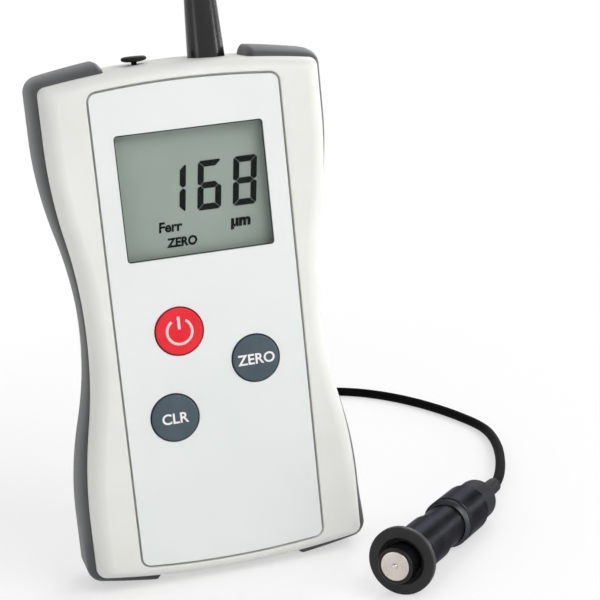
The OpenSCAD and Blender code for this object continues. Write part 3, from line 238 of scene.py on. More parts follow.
def window_ring(grow, y):
    """Window outline with small round corners, grown by some width, at depth y."""
    a = np.radians(np.arange(0, 360, 15) + 7.5)
    x = np.sign(np.cos(a)) * (WINDOW_W / 2 - WINDOW_R) + (WINDOW_R + grow) * np.cos(a)
    z = np.sign(np.sin(a)) * (WINDOW_H / 2 - WINDOW_R) + (WINDOW_R + grow) * np.sin(a)
    return np.stack([x, np.full(len(a), y), WINDOW_Z + z], axis=1)


lip = [(LIP_IN, LIP_FRONT), (LIP_IN, FACE_WALL), (LIP_OUT, FACE_WALL), (LIP_OUT, LIP_FRONT)]
lip_rings = np.stack([window_ring(grow, FACE_Y + deep) for grow, deep in lip])
front_points = np.vstack([front_rings.reshape(-1, 3), lip_rings.reshape(-1, 3)])
front_faces = np.vstack([grid_faces(*front_rings.shape[:2], wrap_rows=True),
                         grid_faces(*lip_rings.shape[:2], wrap_rows=True) + front_rings.size // 3])
piece("front_moulding", front_points, front_faces, case_abs, "gauge", "shell_white", "front_shell")


def smooth_copy(node, name, finish, body, slot, sharp=35):
    """Copy of a CAD node with its loose triangles merged, smooth up to a crease angle, that stands for it."""
    mesh = nodes[node].data.copy()
    shape = bmesh.new()
    shape.from_mesh(mesh)
    bmesh.ops.remove_doubles(shape, verts=shape.verts, dist=1e-6)
    shape.to_mesh(mesh)
    shape.free()
    mesh.name = name
    mesh.materials.clear()
    mesh.materials.append(finish)
    if "custom_normal" in mesh.attributes:
        mesh.attributes.remove(mesh.attributes["custom_normal"])
    mesh.shade_smooth()
    mesh.set_sharp_from_angle(angle=math.radians(sharp))
    made = placed(name, mesh, body, slot, node)
    made.modifiers.new("even_normals", "WEIGHTED_NORMAL").keep_sharp = True


smooth_copy("rear_shell", "rear_moulding", case_abs, "gauge", "shell_white")
smooth_copy("battery_door", "battery_door_moulding", case_abs, "battery_door", "shell_white")

# Two soft rubber bumpers lie in grooves along the sides. Each is thin at the waist, swells towards the
# corners and hooks round them on to the ends, where the gauge stands on its two lower hooks.
BUMPER_WAIST_OUT, BUMPER_D, BUMPER_WAIST_D = 0.6, 13.0, 8.0
BUMPER_Y, BUMPER_FRONT, BUMPER_EDGE, FOOT_SQUARE = -1.0, 0.55, 2.0, 3.0
GROOVE, SEAT_IN, HOOK_NOSE = 1.2, 0.5, 1.5


def bumper_path():
    """Stations of the right-hand bumper: place, outward direction, stand-out and depth. They run from the
    lower hook's nose along the bowed end, round the corner and up to the waist; the upper half is the lower
    one mirrored."""
    top = HALF_H - END_BOW + math.sqrt((END_BOW - CORNER) ** 2 - (HALF_W - CORNER) ** 2)
    turn = math.atan2(top - HALF_H + END_BOW, HALF_W - CORNER)
    u = np.linspace(0, 1, 9)
    lift = np.sqrt(1 - (0.995 * (1 - u)) ** 2)
    v = np.linspace(0, 1, 16)[1:-1]
    x = np.concatenate([HOOK_IN - HOOK_NOSE * (1 - u),
                        HOOK_IN + (END_BOW * math.cos(turn) - HOOK_IN) * v])
    a = np.arcsin(x / END_BOW)
    out = np.concatenate([lift * HOOK_OUT, HOOK_OUT + (BUMPER_OUT - HOOK_OUT) * v])
    depth = np.concatenate([(0.6 + 0.4 * lift) * BUMPER_D, np.full(len(v), BUMPER_D)])
    end = np.stack([x, -HALF_H + END_BOW * (1 - np.cos(a)), np.sin(a), -np.cos(a), out, depth], axis=1)
    c = np.linspace(-turn, 0, 15)
    one = np.ones(len(c))
    corner = np.stack([HALF_W - CORNER + CORNER * np.cos(c), -top + CORNER * np.sin(c), np.cos(c), np.sin(c),
                       BUMPER_OUT * one, BUMPER_D * one], axis=1)
    t = np.linspace(-top, 0, 61)[1:]
    place = HALF_W - waist(t, WAIST_IN)
    slope = np.gradient(place, t)
    slope[-1] = 0
    length = np.sqrt(1 + slope**2)
    s = np.clip(np.abs(t) / WAIST_REACH, 0, 1)
    swell = s * s * (3 - 2 * s)
    side = np.stack([place, t, 1 / length, -slope / length,
                     BUMPER_WAIST_OUT + (BUMPER_OUT - BUMPER_WAIST_OUT) * swell,
                     BUMPER_WAIST_D + (BUMPER_D - BUMPER_WAIST_D) * swell], axis=1)
    low = np.vstack([end, corner, side])
    return np.vstack([low, low[-2::-1] * [1, -1, 1, -1, 1, 1]])


def bumper(name, hand, finish, slot, node):
    """Bumper swept along its path: a long quarter ellipse at the front edge, which turns short at the foot,
    a short one at the back, flat between them, seated below the case surface. Both ends close in a point."""
    x, t, nx, nz, out, depth = bumper_path().T[:, :, None]
    a = np.radians(np.linspace(0, 90, 8))
    rise = np.concatenate([[0.0], np.sin(a)])
    fall = np.concatenate([[0.0], 1 - np.cos(a)])
    seat = np.arange(len(rise)) == 0
    high = np.where(seat, -GROOVE, rise * out)
    above = np.clip((t + HALF_H - FOOT_SQUARE) / (4 * FOOT_SQUARE), 0, 1)
    soft = BUMPER_EDGE + above * above * (3 - 2 * above) * (BUMPER_FRONT * depth - BUMPER_EDGE)
    front = np.where(seat, SEAT_IN, fall * soft)
    rear = np.where(seat, SEAT_IN, fall * BUMPER_EDGE)
    n = np.hstack([high, high[:, ::-1]])
    y = np.hstack([front - depth / 2, depth / 2 - rear[::-1] + 0 * depth])
    grid = np.stack([hand * (x + n * nx), BUMPER_Y + y, MID_Z + t + n * nz], axis=-1)
    cap = grid.mean(axis=1, keepdims=True)
    caps = np.repeat(cap[[0, -1]], grid.shape[1], axis=1)
    grid = np.concatenate([caps[:1], grid, caps[1:]])
    piece(name, grid.reshape(-1, 3), grid_faces(*grid.shape[:2]), finish, "gauge", slot, node)


# Thermoplastic rubber, moulded with a dull fine grain: dark grey, softly lit, a little paler along its edges.
bumper_rubber = surface("moulded_grey_rubber", "#4B4C4E", "#555658", patch=9, grain=0.6, relief=0.010,
                        rough=0.58, Specular_IOR_Level=0.3, Sheen_Weight=0.25, Sheen_Roughness=0.4)
bumper("left_bumper", -1, bumper_rubber, "bumper_rubber", "bumper_left")
bumper("right_bumper", 1, bumper_rubber, "bumper_rubber", "bumper_right")

# The face label is a printed polyester film in the recess, pale and slightly cool. Its window shows the
# display, a reflective liquid crystal glass behind a clear acrylic lens.
LCD_GAP = 0.2
LCD_Y = FACE_Y + FACE_WALL + LCD_GAP


def dress(finish, slot, *names):
    """Gives CAD nodes whose shape is right their finish."""
    for name in names:
        nodes[name].data.materials.clear()
        nodes[name].data.materials.append(finish)


# Matt printed film over the print: even, cool near-white, with a satin that drifts slowly.
label_film = surface("printed_label_film", "#DFE3E2", "#E5E8E7", patch=30, grain=0.4, relief=0.002,
                     rough=0.36)
dress(label_film, "label_film", "face_label")

# Clear acrylic, polished: hardly any body, a thin gloss.
lens_acrylic = surface("polished_clear_acrylic", "#39403D", "#454C49", patch=14, grain=3, relief=0.001,
                       rough=0.06, swing=0.02, IOR=1.49, Alpha=0.05)
lens_acrylic.surface_render_method = "BLENDED"
dress(lens_acrylic, "lens_clear", "display_lens")

# Dark line round the window on the front of the lens: a thin, dull ring, a little uneven in tone.
BORDER_IN, BORDER_OUT, BORDER_T = 0.3, 0.25, 0.03
window_line_finish = surface("dark_window_line_finish", "#3E4441", "#4A504D", patch=4, grain=0.3, relief=0.002,
                     rough=0.5, Specular_IOR_Level=0.15)
LENS_Y = FACE_Y + LABEL_T
border = [(-BORDER_IN, BORDER_T), (BORDER_OUT, BORDER_T), (BORDER_OUT, BORDER_T / 3),
          (-BORDER_IN, BORDER_T / 3)]
border_rings = np.stack([window_ring(grow, LENS_Y - lift) for grow, lift in border])
piece("window_border", border_rings.reshape(-1, 3), grid_faces(*border_rings.shape[:2], wrap_rows=True),
      window_line_finish, "gauge", "lens_clear")

# Liquid crystal glass over a grey-green diffusing reflector: flat, a little mottled, faintly glossy.
lcd_face = surface("reflective_liquid_crystal", "#9AA79E", "#A2AEA5", patch=16, grain=0.35, relief=0.003,
                   rough=0.35, Specular_IOR_Level=0.15)
dress(lcd_face, "lcd_glass", "lcd_glass")

# Switched-on crystal: almost black, slightly green.
lcd_dark = surface("switched_liquid_crystal", "#0A0F0D", "#121715", patch=4, grain=0.3, relief=0.001,
                   rough=0.4, Specular_IOR_Level=0.05)
CRYSTAL_LIFT, CRYSTAL_T = 0.04, 0.03
DIGIT_W, DIGIT_H, STROKE, DIGIT_PITCH, DIGIT_SLANT = 5.24, 10.6, 1.35, 7.8, 0.12
DIGIT_U, DIGIT_V = 11.5, 0.6


def plates(shapes, y, thick):
    """Thin plates from flat shapes of equal corner count, u right of the middle line and v up: each shape is
    the front, its copy pushed in by the thickness is the back, and edges join them."""
    count, corners, _ = shapes.shape
    flat = shapes.reshape(-1, 2)
    front = np.stack([flat[:, 0], np.full(len(flat), y), flat[:, 1]], axis=1)
    points = np.vstack([front, front + [0, thick, 0]])
    index = np.arange(count * corners).reshape(count, corners)
    after = np.roll(index, -1, axis=1)
    back = len(flat)
    sides = np.stack([index, after, after + back, index + back], axis=-1).reshape(-1, 4)
    return points, [*index.tolist(), *(index[:, ::-1] + back).tolist(), *sides.tolist()]


def digit(u, lit):
    """Lit segments of one leaning seven-segment figure at u: mitred at the outer corners, pointed at its
    middle bar."""
    w, h, s, cut, gap, low = DIGIT_W / 2, DIGIT_H / 2, STROKE, 0.5, 0.06, 0.45
    top = np.array([[cut - w + gap, h], [w - cut - gap, h], [w - cut / 2 - gap, h - cut / 2],
                    [w - s - gap, h - s], [s + gap - w, h - s], [cut / 2 + gap - w, h - cut / 2]])
    side = np.array([[w, h - cut - gap], [w, low], [w - s / 2, gap], [w - s, s / 2 + gap],
                     [w - s, h - s - gap], [w - cut / 2, h - cut / 2 - gap]])
    middle = np.array([[s / 2 + gap - w, 0], [s + gap - w, s / 2], [w - s - gap, s / 2], [w - s / 2 - gap, 0],
                       [w - s - gap, -s / 2], [s + gap - w, -s / 2]])
    bars = {"a": top, "b": side, "c": side * [1, -1], "d": top * [1, -1], "e": -side, "f": side * [-1, 1],
            "g": middle}
    made = np.array([bars[name] for name in lit])
    made[..., 0] += DIGIT_SLANT * made[..., 1]
    return made + [u, WINDOW_Z + DIGIT_V]


figures = np.vstack([digit(DIGIT_U - 2 * DIGIT_PITCH, "bc"), digit(DIGIT_U - DIGIT_PITCH, "acdefg"),
                     digit(DIGIT_U, "abcdefg")])
piece("display_figures", *plates(figures, LCD_Y - CRYSTAL_LIFT, CRYSTAL_T), lcd_dark, "gauge", "lcd_glass")


def lettering(name, words, height, u, z, y, thick, finish, body, slot, weight=0.0, stretch=1.0, slant=0.0):
    """Plain sans words in the face plane, centred at (u, z), their capitals as high as given and as thin as a
    print. The font's own outline is scaled and laid from its plane into the face plane."""
    curve = bpy.data.curves.new(name, "FONT")
    curve.body, curve.extrude, curve.resolution_u = words, 0.02, 4
    curve.offset, curve.shear = weight, slant
    writer = linked(name + "_writer", curve)
    bpy.context.view_layer.update()
    flat = bpy.data.meshes.new_from_object(writer.evaluated_get(bpy.context.evaluated_depsgraph_get()))
    bpy.data.objects.remove(writer)
    co = np.zeros(len(flat.vertices) * 3)
    flat.vertices.foreach_get("co", co)
    co = co.reshape(-1, 3)
    low, high = co[:, :2].min(axis=0), co[:, :2].max(axis=0)
    capital = 0.73
    x = (co[:, 0] - (low[0] + high[0]) / 2) * height / capital * stretch
    up = (co[:, 1] - capital / 2) * height / capital
    deep = (co[:, 2] - co[:, 2].min()) / np.ptp(co[:, 2])
    points = np.stack([u + x, y + thick * (1 - deep), z + up], axis=1)
    faces = [list(p.vertices) for p in flat.polygons]
    bpy.data.meshes.remove(flat)
    mesh = bpy.data.meshes.new(name)
    mesh.from_pydata((points * MM).tolist(), [], faces)
    mesh.materials.append(finish)
    placed(name, mesh, body, slot)


# Name, word, capital height, place right of the middle and below the window's middle, stretch, weight.
display_words = (("display_unit", "µm", 2.4, 9.6, 7.75, 1.02, 0.06),
                 ("display_mode", "Ferr", 2.2, -5.7, 7.2, 0.97, 0.035),
                 ("display_state", "ZERO", 1.95, -3.6, 10.7, 0.94, 0.045))
for name, words, high, u, down, stretch, weight in display_words:
    lettering(name, words, high, u, WINDOW_Z - down, LCD_Y - CRYSTAL_LIFT, CRYSTAL_T, lcd_dark, "gauge",
              "lcd_glass", weight, stretch, DIGIT_SLANT)

# Three round keys of coloured plastic stand a little out of the label: one red for power, two slate grey.
# Each has a soft rim, a very low crown, a collar behind the front wall and a stem down to its snap dome.
KEY_D, KEY_RISE, KEY_SOFT, KEY_CROWN = 10.3, 0.4, 0.35, 0.06
KEY_COLLAR, KEY_COLLAR_T, KEY_STEM_R, KEY_TRAVEL = 1.0, 0.8, 2.0, 0.6
COLLAR_GAP, DOME_H, DOME_GAP, LABEL_SINK, BOARD_GAP = 0.05, 0.7, 0.05, 0.05, 4.5
KEY_LINE = WINDOW_Z - WINDOW_H / 2
LABEL_Y = FACE_Y + LABEL_SINK
BOARD_Y = LCD_Y + BOARD_GAP
# Place of each key, right of the middle line and below the window.
(POWER_X, POWER_DOWN), (ZERO_X, ZERO_DOWN), (CLEAR_X, CLEAR_DOWN) = (-6.8, 16.0), (9.3, 24.4), (-9.8, 34.8)


def softened(profile, radius, steps=4, closed=False):
    """Profile with each corner rounded off: a quadratic curve that leaves before the corner and rejoins after
    it, at the radius or at most 0.45 of the shorter side."""
    p = np.asarray(profile, float)
    before, after = np.roll(p, 1, axis=0) - p, np.roll(p, -1, axis=0) - p
    r = np.broadcast_to(np.asarray(radius, float), len(p))[:, None]
    lb, la = np.linalg.norm(before, axis=1)[:, None], np.linalg.norm(after, axis=1)[:, None]
    cut = np.minimum(r, 0.45 * np.minimum(lb, la))
    a, b = p + before / lb * cut, p + after / la * cut
    s = np.linspace(0, 1, steps + 1)[None, :, None]
    curve = (1 - s) ** 2 * a[:, None] + 2 * s * (1 - s) * p[:, None] + s**2 * b[:, None]
    if not closed:
        curve[0], curve[-1] = p[0], p[-1]
    return curve.reshape(-1, 2)


def across(axis):
    """Two directions square to a unit axis and to each other, from a cross product with a fixed slant."""
    u = np.cross(axis, [0.31, 0.47, 0.83])
    u /= np.linalg.norm(u)
    return u, np.cross(axis, u)


def lathe(name, profile, start, axis, finish, body, slot, *stands_for, segments=96):
    """Turned piece: (radius, station) points carried round an axis. A profile that starts and ends on the
    axis is closed at its two poles; any other profile is closed into a ring with a bore."""
    axis = np.asarray(axis, float) / np.linalg.norm(axis)
    u, v = across(axis)
    r, q = np.asarray(profile, float).T[:, :, None]
    a = np.linspace(0, 2 * np.pi, segments, endpoint=False)[None, :, None]
    grid = start + q[..., None] * axis + r[..., None] * (np.cos(a) * u + np.sin(a) * v)
    faces = grid_faces(*grid.shape[:2], wrap_rows=profile[0][0] > 0)
    piece(name, grid.reshape(-1, 3), faces, finish, body, slot, *stands_for)


def key(name, x, down, finish, body, slot, node):
    """Key cap about its own line: a parabola for the crown, a quarter circle for the rim, then skirt, collar
    and stem."""
    r, top = KEY_D / 2, -LABEL_Y + KEY_RISE
    collar, foot = -FACE_Y - FACE_WALL - COLLAR_GAP, -BOARD_Y + DOME_H + KEY_TRAVEL + DOME_GAP
    crown = np.linspace(0, 1, 9)
    crowned = np.stack([(r - KEY_SOFT) * crown, top + KEY_CROWN * (1 - crown**2)], axis=1)
    a = np.radians(np.linspace(90, 0, 8))[1:]
    rim = np.stack([r - KEY_SOFT + KEY_SOFT * np.cos(a), top - KEY_SOFT + KEY_SOFT * np.sin(a)], axis=1)
    skirt = softened([[r, top - KEY_SOFT], [r, collar], [r + KEY_COLLAR, collar],
                      [r + KEY_COLLAR, collar - KEY_COLLAR_T], [KEY_STEM_R, collar - KEY_COLLAR_T],
                      [KEY_STEM_R, foot], [0, foot]], 0.12)[1:]
    lathe(name, np.vstack([crowned, rim, skirt]), np.array([x, 0, KEY_LINE - down]), (0, -1, 0), finish, body,
          slot, node)


# Injection-moulded plastic with a fine eroded face: saturated red, satin.
key_red = surface("moulded_red_plastic", "#E02833", "#E8333D", patch=6, grain=0.4, relief=0.006, rough=0.42,
                  Specular_IOR_Level=0.15)
# The same in slate grey.
key_grey = surface("moulded_slate_plastic", "#47535B", "#505C65", patch=6, grain=0.4, relief=0.006,
                   rough=0.42, Specular_IOR_Level=0.2)
key("power_button", POWER_X, POWER_DOWN, key_red, "power_key", "key_red", "power_key")
key("zero_button", ZERO_X, ZERO_DOWN, key_grey, "zero_key", "key_grey", "zero_key")
key("clear_button", CLEAR_X, CLEAR_DOWN, key_grey, "clear_key", "key_grey", "clear_key")

# Legends are pad-printed on the key tops in a pale ink: thin, flat, a little dull.
LEGEND_H, LEGEND_WEIGHT, INK_T, INK_PROUD = 2.35, 0.02, 0.06, 0.02
key_ink = surface("pad_printed_pale_ink", "#E6E4E2", "#F0EEEC", patch=3, grain=0.2, relief=0.003, rough=0.5)
INK_Y = LABEL_Y - KEY_RISE - KEY_CROWN - INK_PROUD
lettering("zero_legend", "ZERO", LEGEND_H, ZERO_X, KEY_LINE - ZERO_DOWN, INK_Y, INK_T, key_ink, "zero_key",
          "key_grey", LEGEND_WEIGHT)
lettering("clear_legend", "CLR", LEGEND_H, CLEAR_X, KEY_LINE - CLEAR_DOWN, INK_Y, INK_T, key_ink, "clear_key",
          "key_grey", LEGEND_WEIGHT)


def band(angles, radius, width):
    """Flat ring sector as a row of four-cornered plates between two radii."""
    a, b = angles[:-1], angles[1:]
    inner, outer = radius - width / 2, radius + width / 2
    corner = [(inner, a), (outer, a), (outer, b), (inner, b)]
    return np.stack([np.stack([r * np.cos(t), r * np.sin(t)], axis=-1) for r, t in corner], axis=1)


SIGN_R, SIGN_W, SIGN_GAP, STEM_W, STEM_LOW, STEM_HIGH = 2.75, 0.58, 34, 0.6, 0.5, 3.3
sign_arc = np.radians(np.linspace(90 + SIGN_GAP, 450 - SIGN_GAP, 49))
sign_stem = np.array([[[-STEM_W / 2, STEM_LOW], [STEM_W / 2, STEM_LOW], [STEM_W / 2, STEM_HIGH],
                       [-STEM_W / 2, STEM_HIGH]]])
power_sign = np.vstack([band(sign_arc, SIGN_R, SIGN_W), sign_stem]) + [POWER_X, KEY_LINE - POWER_DOWN]
# The same kind of ink in pale rose, as the red shows through it.
power_ink = surface("pad_printed_rose_ink", "#F3C9C9", "#F8D6D5", patch=3, grain=0.2, relief=0.003, rough=0.5)
piece("power_legend", *plates(power_sign, INK_Y, INK_T), power_ink, "power_key", "key_red")

# Inside lie the circuit board with its parts, the display's frame, strips and foil, the snap domes, cells and
# screws. They are bought parts, clipped or screwed in. From outside only the case screws show, and the cells
# with the battery door open.

# Solder mask over copper: deep green, half glossy, faintly wavy.
solder_mask = surface("green_solder_mask", "#1B6340", "#22754B", patch=5, grain=0.8, relief=0.01, rough=0.35)
dress(solder_mask, "board_green", "circuit_board")
# Black nylon mouldings: dull, with a fine grain.
black_nylon = surface("moulded_black_nylon", "#222326", "#2C2D31", patch=5, grain=0.4, relief=0.008,
                      rough=0.5)
dress(black_nylon, "black_plastic", "lcd_frame", "controller_chip", "amplifier_chip", "buzzer",
      "interface_socket")
# Layered conductive rubber of the display's contact strips: matt, near black.
strip_rubber = surface("conductive_strip_rubber", "#36373B", "#424348", patch=2, grain=0.3, relief=0.01,
                       rough=0.65)
dress(strip_rubber, "strip_rubber", "contact_strips")
# Aluminised foil behind the display: pale, half metallic, slightly crinkled.
foil = surface("aluminised_foil", "#B4BDB8", "#C4CCC7", patch=8, grain=1.2, relief=0.004, rough=0.3,
               Metallic=0.6)
dress(foil, "foil", "lcd_reflector")
# Nickel-plated steel of the domes, screws, plates and springs: bright, with a soft sheen.
steel = surface("nickel_plated_steel", "#B6B8BB", "#CACCCE", patch=4, grain=0.5, relief=0.004, rough=0.3,
                Metallic=1.0)
dress(steel, "bright_steel", "crystal_can", "key_domes", "board_screws", "case_screws", "battery_plates",
      "probe_retainer")
# Printed shrink sleeve of the cells: even blue, glossy.
cell_sleeve = surface("printed_cell_sleeve", "#2A5682", "#356797", patch=8, grain=0.5, relief=0.003,
                      rough=0.3)
dress(cell_sleeve, "cell_sleeve", "battery_left", "battery_right")
# Natural nylon of the cable header: cream, dull.
cream_nylon = surface("cream_nylon", "#E0DCCD", "#EBE8DC", patch=4, grain=0.4, relief=0.006, rough=0.5)
dress(cream_nylon, "header_cream", "probe_header")

# A tapered coil spring of plated steel wire presses each cell against its plate: the left one from below,
# the right one from above. Its wide coil sits against the bay's end wall.
CELL_SPRING_L, CELL_SPRING_R, CELL_SPRING_TIP_R = 4.7, 3.8, 2.4
CELL_SPRING_TURNS, CELL_WIRE_R = 3.5, 0.3


def spring(base, axis, length, wide, narrow, turns, wire):
    """Rings of round wire along a helix of steady pitch, from a wide first coil to a narrow last one. The
    helix lies within the given length, and both ends close at the middle of the wire."""
    u, v = across(axis)
    s = np.linspace(0, 1, round(40 * turns) + 1)[:, None]
    out = np.cos(2 * np.pi * turns * s) * u + np.sin(2 * np.pi * turns * s) * v
    line = base + (wire + (length - 2 * wire) * s) * axis + (wide + (narrow - wide) * s) * out
    b = np.linspace(0, 2 * np.pi, 12, endpoint=False)[None, :, None]
    rings = line[:, None] + wire * (np.cos(b) * out[:, None] + np.sin(b) * axis)
    ends = np.repeat(line[[0, -1], None], 12, axis=1)
    return np.concatenate([ends[:1], rings, ends[1:]])


left_low, left_high = np.array(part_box("battery_left")) / MM
right_low, right_high = np.array(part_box("battery_right")) / MM
upward = np.array([0.0, 0.0, 1.0])
left_foot = np.array([*(left_low + left_high)[:2] / 2, left_low[2] - CELL_SPRING_L])
right_foot = np.array([*(right_low + right_high)[:2] / 2, right_high[2] + CELL_SPRING_L])
pair = [spring(foot, way, CELL_SPRING_L, CELL_SPRING_R, CELL_SPRING_TIP_R, CELL_SPRING_TURNS, CELL_WIRE_R)
        for foot, way in [(left_foot, upward), (right_foot, -upward)]]
pair_faces = grid_faces(*pair[0].shape[:2])
piece("cell_springs", np.vstack([one.reshape(-1, 3) for one in pair]),
      np.vstack([pair_faces, pair_faces + pair[0].size // 3]), steel, "gauge", "bright_steel",
      "battery_springs")

# On the top end a rubber plug with a thin neck and a bowl-shaped head closes the interface socket, and a
# long tapered boot of black rubber leads the cable out. Its disc is snapped in behind the case wall.
PORT_X, BOOT_R, SEAT_SINK = 7.9, 4.1, 0.2
END_TOP = MID_Z + HALF_H
PORT_DROP = END_BOW - math.sqrt(END_BOW**2 - (PORT_X + BOOT_R) ** 2)
SEAT_Z = END_TOP - PORT_DROP - SEAT_SINK
BOOT_IN_Z = END_TOP - PORT_DROP - WALL
BOOT_L, CABLE_D = 30.0, 2.5
BOOT_TOP = SEAT_Z + BOOT_L
# Moulded rubber with a dull skin: near-black, hardly any shine.
plug_rubber = surface("moulded_black_rubber", "#161617", "#1F1F21", patch=3, grain=0.4, relief=0.008,
                      rough=0.5, Specular_IOR_Level=0.15)
PLUG_FOOT, PLUG_HEAD = BOOT_IN_Z - 8.5, BODY_H - 1.0
PLUG_R, PLUG_NECK_R, PLUG_HEAD_R = 1.3, 0.6, 2.75
bowl = np.radians(np.linspace(8, 90, 9))
plug_profile = np.vstack([
    softened([[0, PLUG_FOOT], [1.0, PLUG_FOOT], [PLUG_R, PLUG_FOOT + 0.3], [PLUG_R, SEAT_Z - 0.2],
              [PLUG_NECK_R, SEAT_Z], [PLUG_NECK_R, PLUG_HEAD]], 0.15),
    np.stack([PLUG_NECK_R + (PLUG_HEAD_R - PLUG_NECK_R) * np.sin(bowl),
              PLUG_HEAD + 0.5 * (1 - np.cos(bowl))], axis=1),
    softened([[PLUG_HEAD_R, PLUG_HEAD + 0.55], [PLUG_HEAD_R, PLUG_HEAD + 0.9],
              [PLUG_HEAD_R - 0.3, PLUG_HEAD + 1.12], [0, PLUG_HEAD + 1.2]], 0.2)[1:]])
lathe("interface_plug", plug_profile, np.array([-PORT_X, 0, 0]), (0, 0, 1), plug_rubber, "port_plug",
      "plug_rubber", "port_plug", segments=64)

# Smooth moulded rubber: near-black with long bright highlights.
boot_rubber = surface("smooth_black_rubber", "#0C0C0D", "#141415", patch=8, grain=1.5, relief=0.004,
                      rough=0.24, Specular_IOR_Level=0.4)
BOOT_BORE_R, BOOT_NECK_R, BOOT_DISC_R, BOOT_MID_R, BOOT_TIP_R = 1.2, 3.0, 4.2, 3.46, 2.5
boot_profile = softened(
    [[BOOT_BORE_R, BOOT_IN_Z - 1.6], [BOOT_DISC_R, BOOT_IN_Z - 1.6], [BOOT_DISC_R, BOOT_IN_Z - 0.2],
     [BOOT_NECK_R, BOOT_IN_Z - 0.2], [BOOT_NECK_R, SEAT_Z], [BOOT_R, SEAT_Z],
     [BOOT_MID_R, SEAT_Z + 0.45 * BOOT_L], [BOOT_TIP_R, BOOT_TOP - 0.8], [BOOT_TIP_R - 0.6, BOOT_TOP],
     [BOOT_BORE_R, BOOT_TOP]],
    [0.1, 0.2, 0.2, 0.2, 0.2, 0.1, 9, 0.5, 0.3, 0.1], steps=8, closed=True)
lathe("cable_boot", boot_profile, np.array([PORT_X, 0, 0]), (0, 0, 1), boot_rubber, "gauge", "boot_black",
      "gauge_boot")

# The probe lies on the table in front of the gauge on the rims of its flange and rear cap, tip towards the
# viewer. Its black anodised sleeve and cap are turned parts, with a bare rim between them and a rubber boot
# at the tail; the nose slides in the sleeve against a spring.
NOSE_OUT, FLANGE_T, SLEEVE_L, CAP_L, TAIL_L, TUBE_L = 3.8, 1.7, 24.5, 14.0, 7.5, 11.5
Q_SLEEVE = NOSE_OUT + FLANGE_T
Q_CAP = Q_SLEEVE + SLEEVE_L
Q_TAIL = Q_CAP + CAP_L
Q_TUBE = Q_TAIL + TAIL_L
Q_END = Q_TUBE + TUBE_L
FLANGE_R, SLEEVE_R, NECK_R, CAP_R, TAIL_R = 7.35, 5.15, 4.65, 5.5, 4.75
NOSE_R, NOSE_COLLAR_R, NOSE_L, BORE_R = 3.9, 4.3, 12.0, 4.2
CONTACT_R, CONTACT_BACK, POLE_R, POLE_L = 3.15, 1.9, 0.6, 12.0
Q_NECK, RIM_L, CAP_BEVEL = 20.65, 1.4, 0.7
Q_RIM = Q_CAP + RIM_L
TILT = math.atan((FLANGE_R - CAP_R) / (Q_TAIL - CAP_BEVEL - Q_SLEEVE))
TURN = math.radians(50)
AXIS = np.array([math.cos(TURN) * math.cos(TILT), math.sin(TURN) * math.cos(TILT), -math.sin(TILT)])
TIP = np.array([26.9, -44.7, FLANGE_R * math.cos(TILT) + Q_SLEEVE * math.sin(TILT)])


def turned(name, low, high, pitch, relief, rough, **sockets):
    """Finish of a turned part: fine tool rings at a pitch in mm over the plain finish. Their height is the
    sine of the distance along the probe's axis plus the distance out from it."""
    made = surface(name, low, high, 6, 0.5, 0.003, rough, **sockets)
    tree = made.node_tree
    at = add(tree, "ShaderNodeTexCoord").outputs["Object"]
    tip, axis, turns = tuple(TIP * MM), tuple(AXIS), 2 * math.pi * 1000 / pitch
    off = add(tree, "ShaderNodeVectorMath", {0: at, 1: tip}, operation="SUBTRACT").outputs["Vector"]
    along = add(tree, "ShaderNodeVectorMath", {0: off, 1: axis}, operation="DOT_PRODUCT").outputs["Value"]
    line = add(tree, "ShaderNodeVectorMath", {0: axis, "Scale": along}, operation="SCALE").outputs["Vector"]
    out = add(tree, "ShaderNodeVectorMath", {0: off, 1: line}, operation="SUBTRACT").outputs["Vector"]
    radius = add(tree, "ShaderNodeVectorMath", {0: out}, operation="LENGTH").outputs["Value"]
    both = add(tree, "ShaderNodeMath", {0: along, 1: radius}, operation="ADD").outputs["Value"]
    phase = add(tree, "ShaderNodeMath", {0: both, 1: turns}, operation="MULTIPLY").outputs["Value"]
    wave = add(tree, "ShaderNodeMath", {0: phase}, operation="SINE").outputs["Value"]
    shader = tree.nodes["Principled BSDF"]
    plain = shader.inputs["Normal"].links[0].from_socket
    bump = add(tree, "ShaderNodeBump",
               {"Height": wave, "Strength": 1.0, "Distance": relief * MM, "Normal": plain})
    tree.links.new(bump.outputs["Normal"], shader.inputs["Normal"])
    return made


# Black anodised aluminium, turned: near-black to its edges, satin, with tool rings just fine enough to break
# the highlight. The greyed edge tint keeps the white table out of its flanks.
EDGE_TINT = linear("#B4B4B8")
probe_black = turned("black_anodised_turning", "#2A2A2C", "#343436", pitch=0.45, relief=0.004, rough=0.36,
                     Metallic=1.0, Specular_Tint=EDGE_TINT)
# The flange is blasted before it is anodised: the same black, duller, without the long highlights.
flange_black = turned("blasted_anodised_flange", "#262526", "#302E2F", pitch=0.5, relief=0.002, rough=0.5,
                      Specular_IOR_Level=0.25)
# Bare turned edge of the same part: dark grey metal, a shade brighter than the black beside it.
probe_bright = turned("bare_turned_aluminium", "#3B3C3F", "#494A4D", pitch=0.4, relief=0.003, rough=0.36,
                      Metallic=1.0, Specular_Tint=EDGE_TINT)
# Hardened steel, ground and lapped: warm and bright, with faint rings round its middle.
contact_steel = turned("lapped_contact_steel", "#C7BFB6", "#D6CFC8", pitch=0.5, relief=0.0012, rough=0.30,
                       Metallic=1.0)
# The pole in its middle is the same steel, polished: brighter and sharper.
pole_steel = turned("polished_pole_steel", "#C9C5BF", "#DAD6D1", pitch=0.5, relief=0.0006, rough=0.16,
                    Metallic=1.0)
# Soft rubber of the tail: dark grey, dull.
tail_rubber = surface("moulded_tail_rubber", "#1C1C1F", "#242428", patch=4, grain=0.5, relief=0.008,
                      rough=0.6, Specular_IOR_Level=0.1)
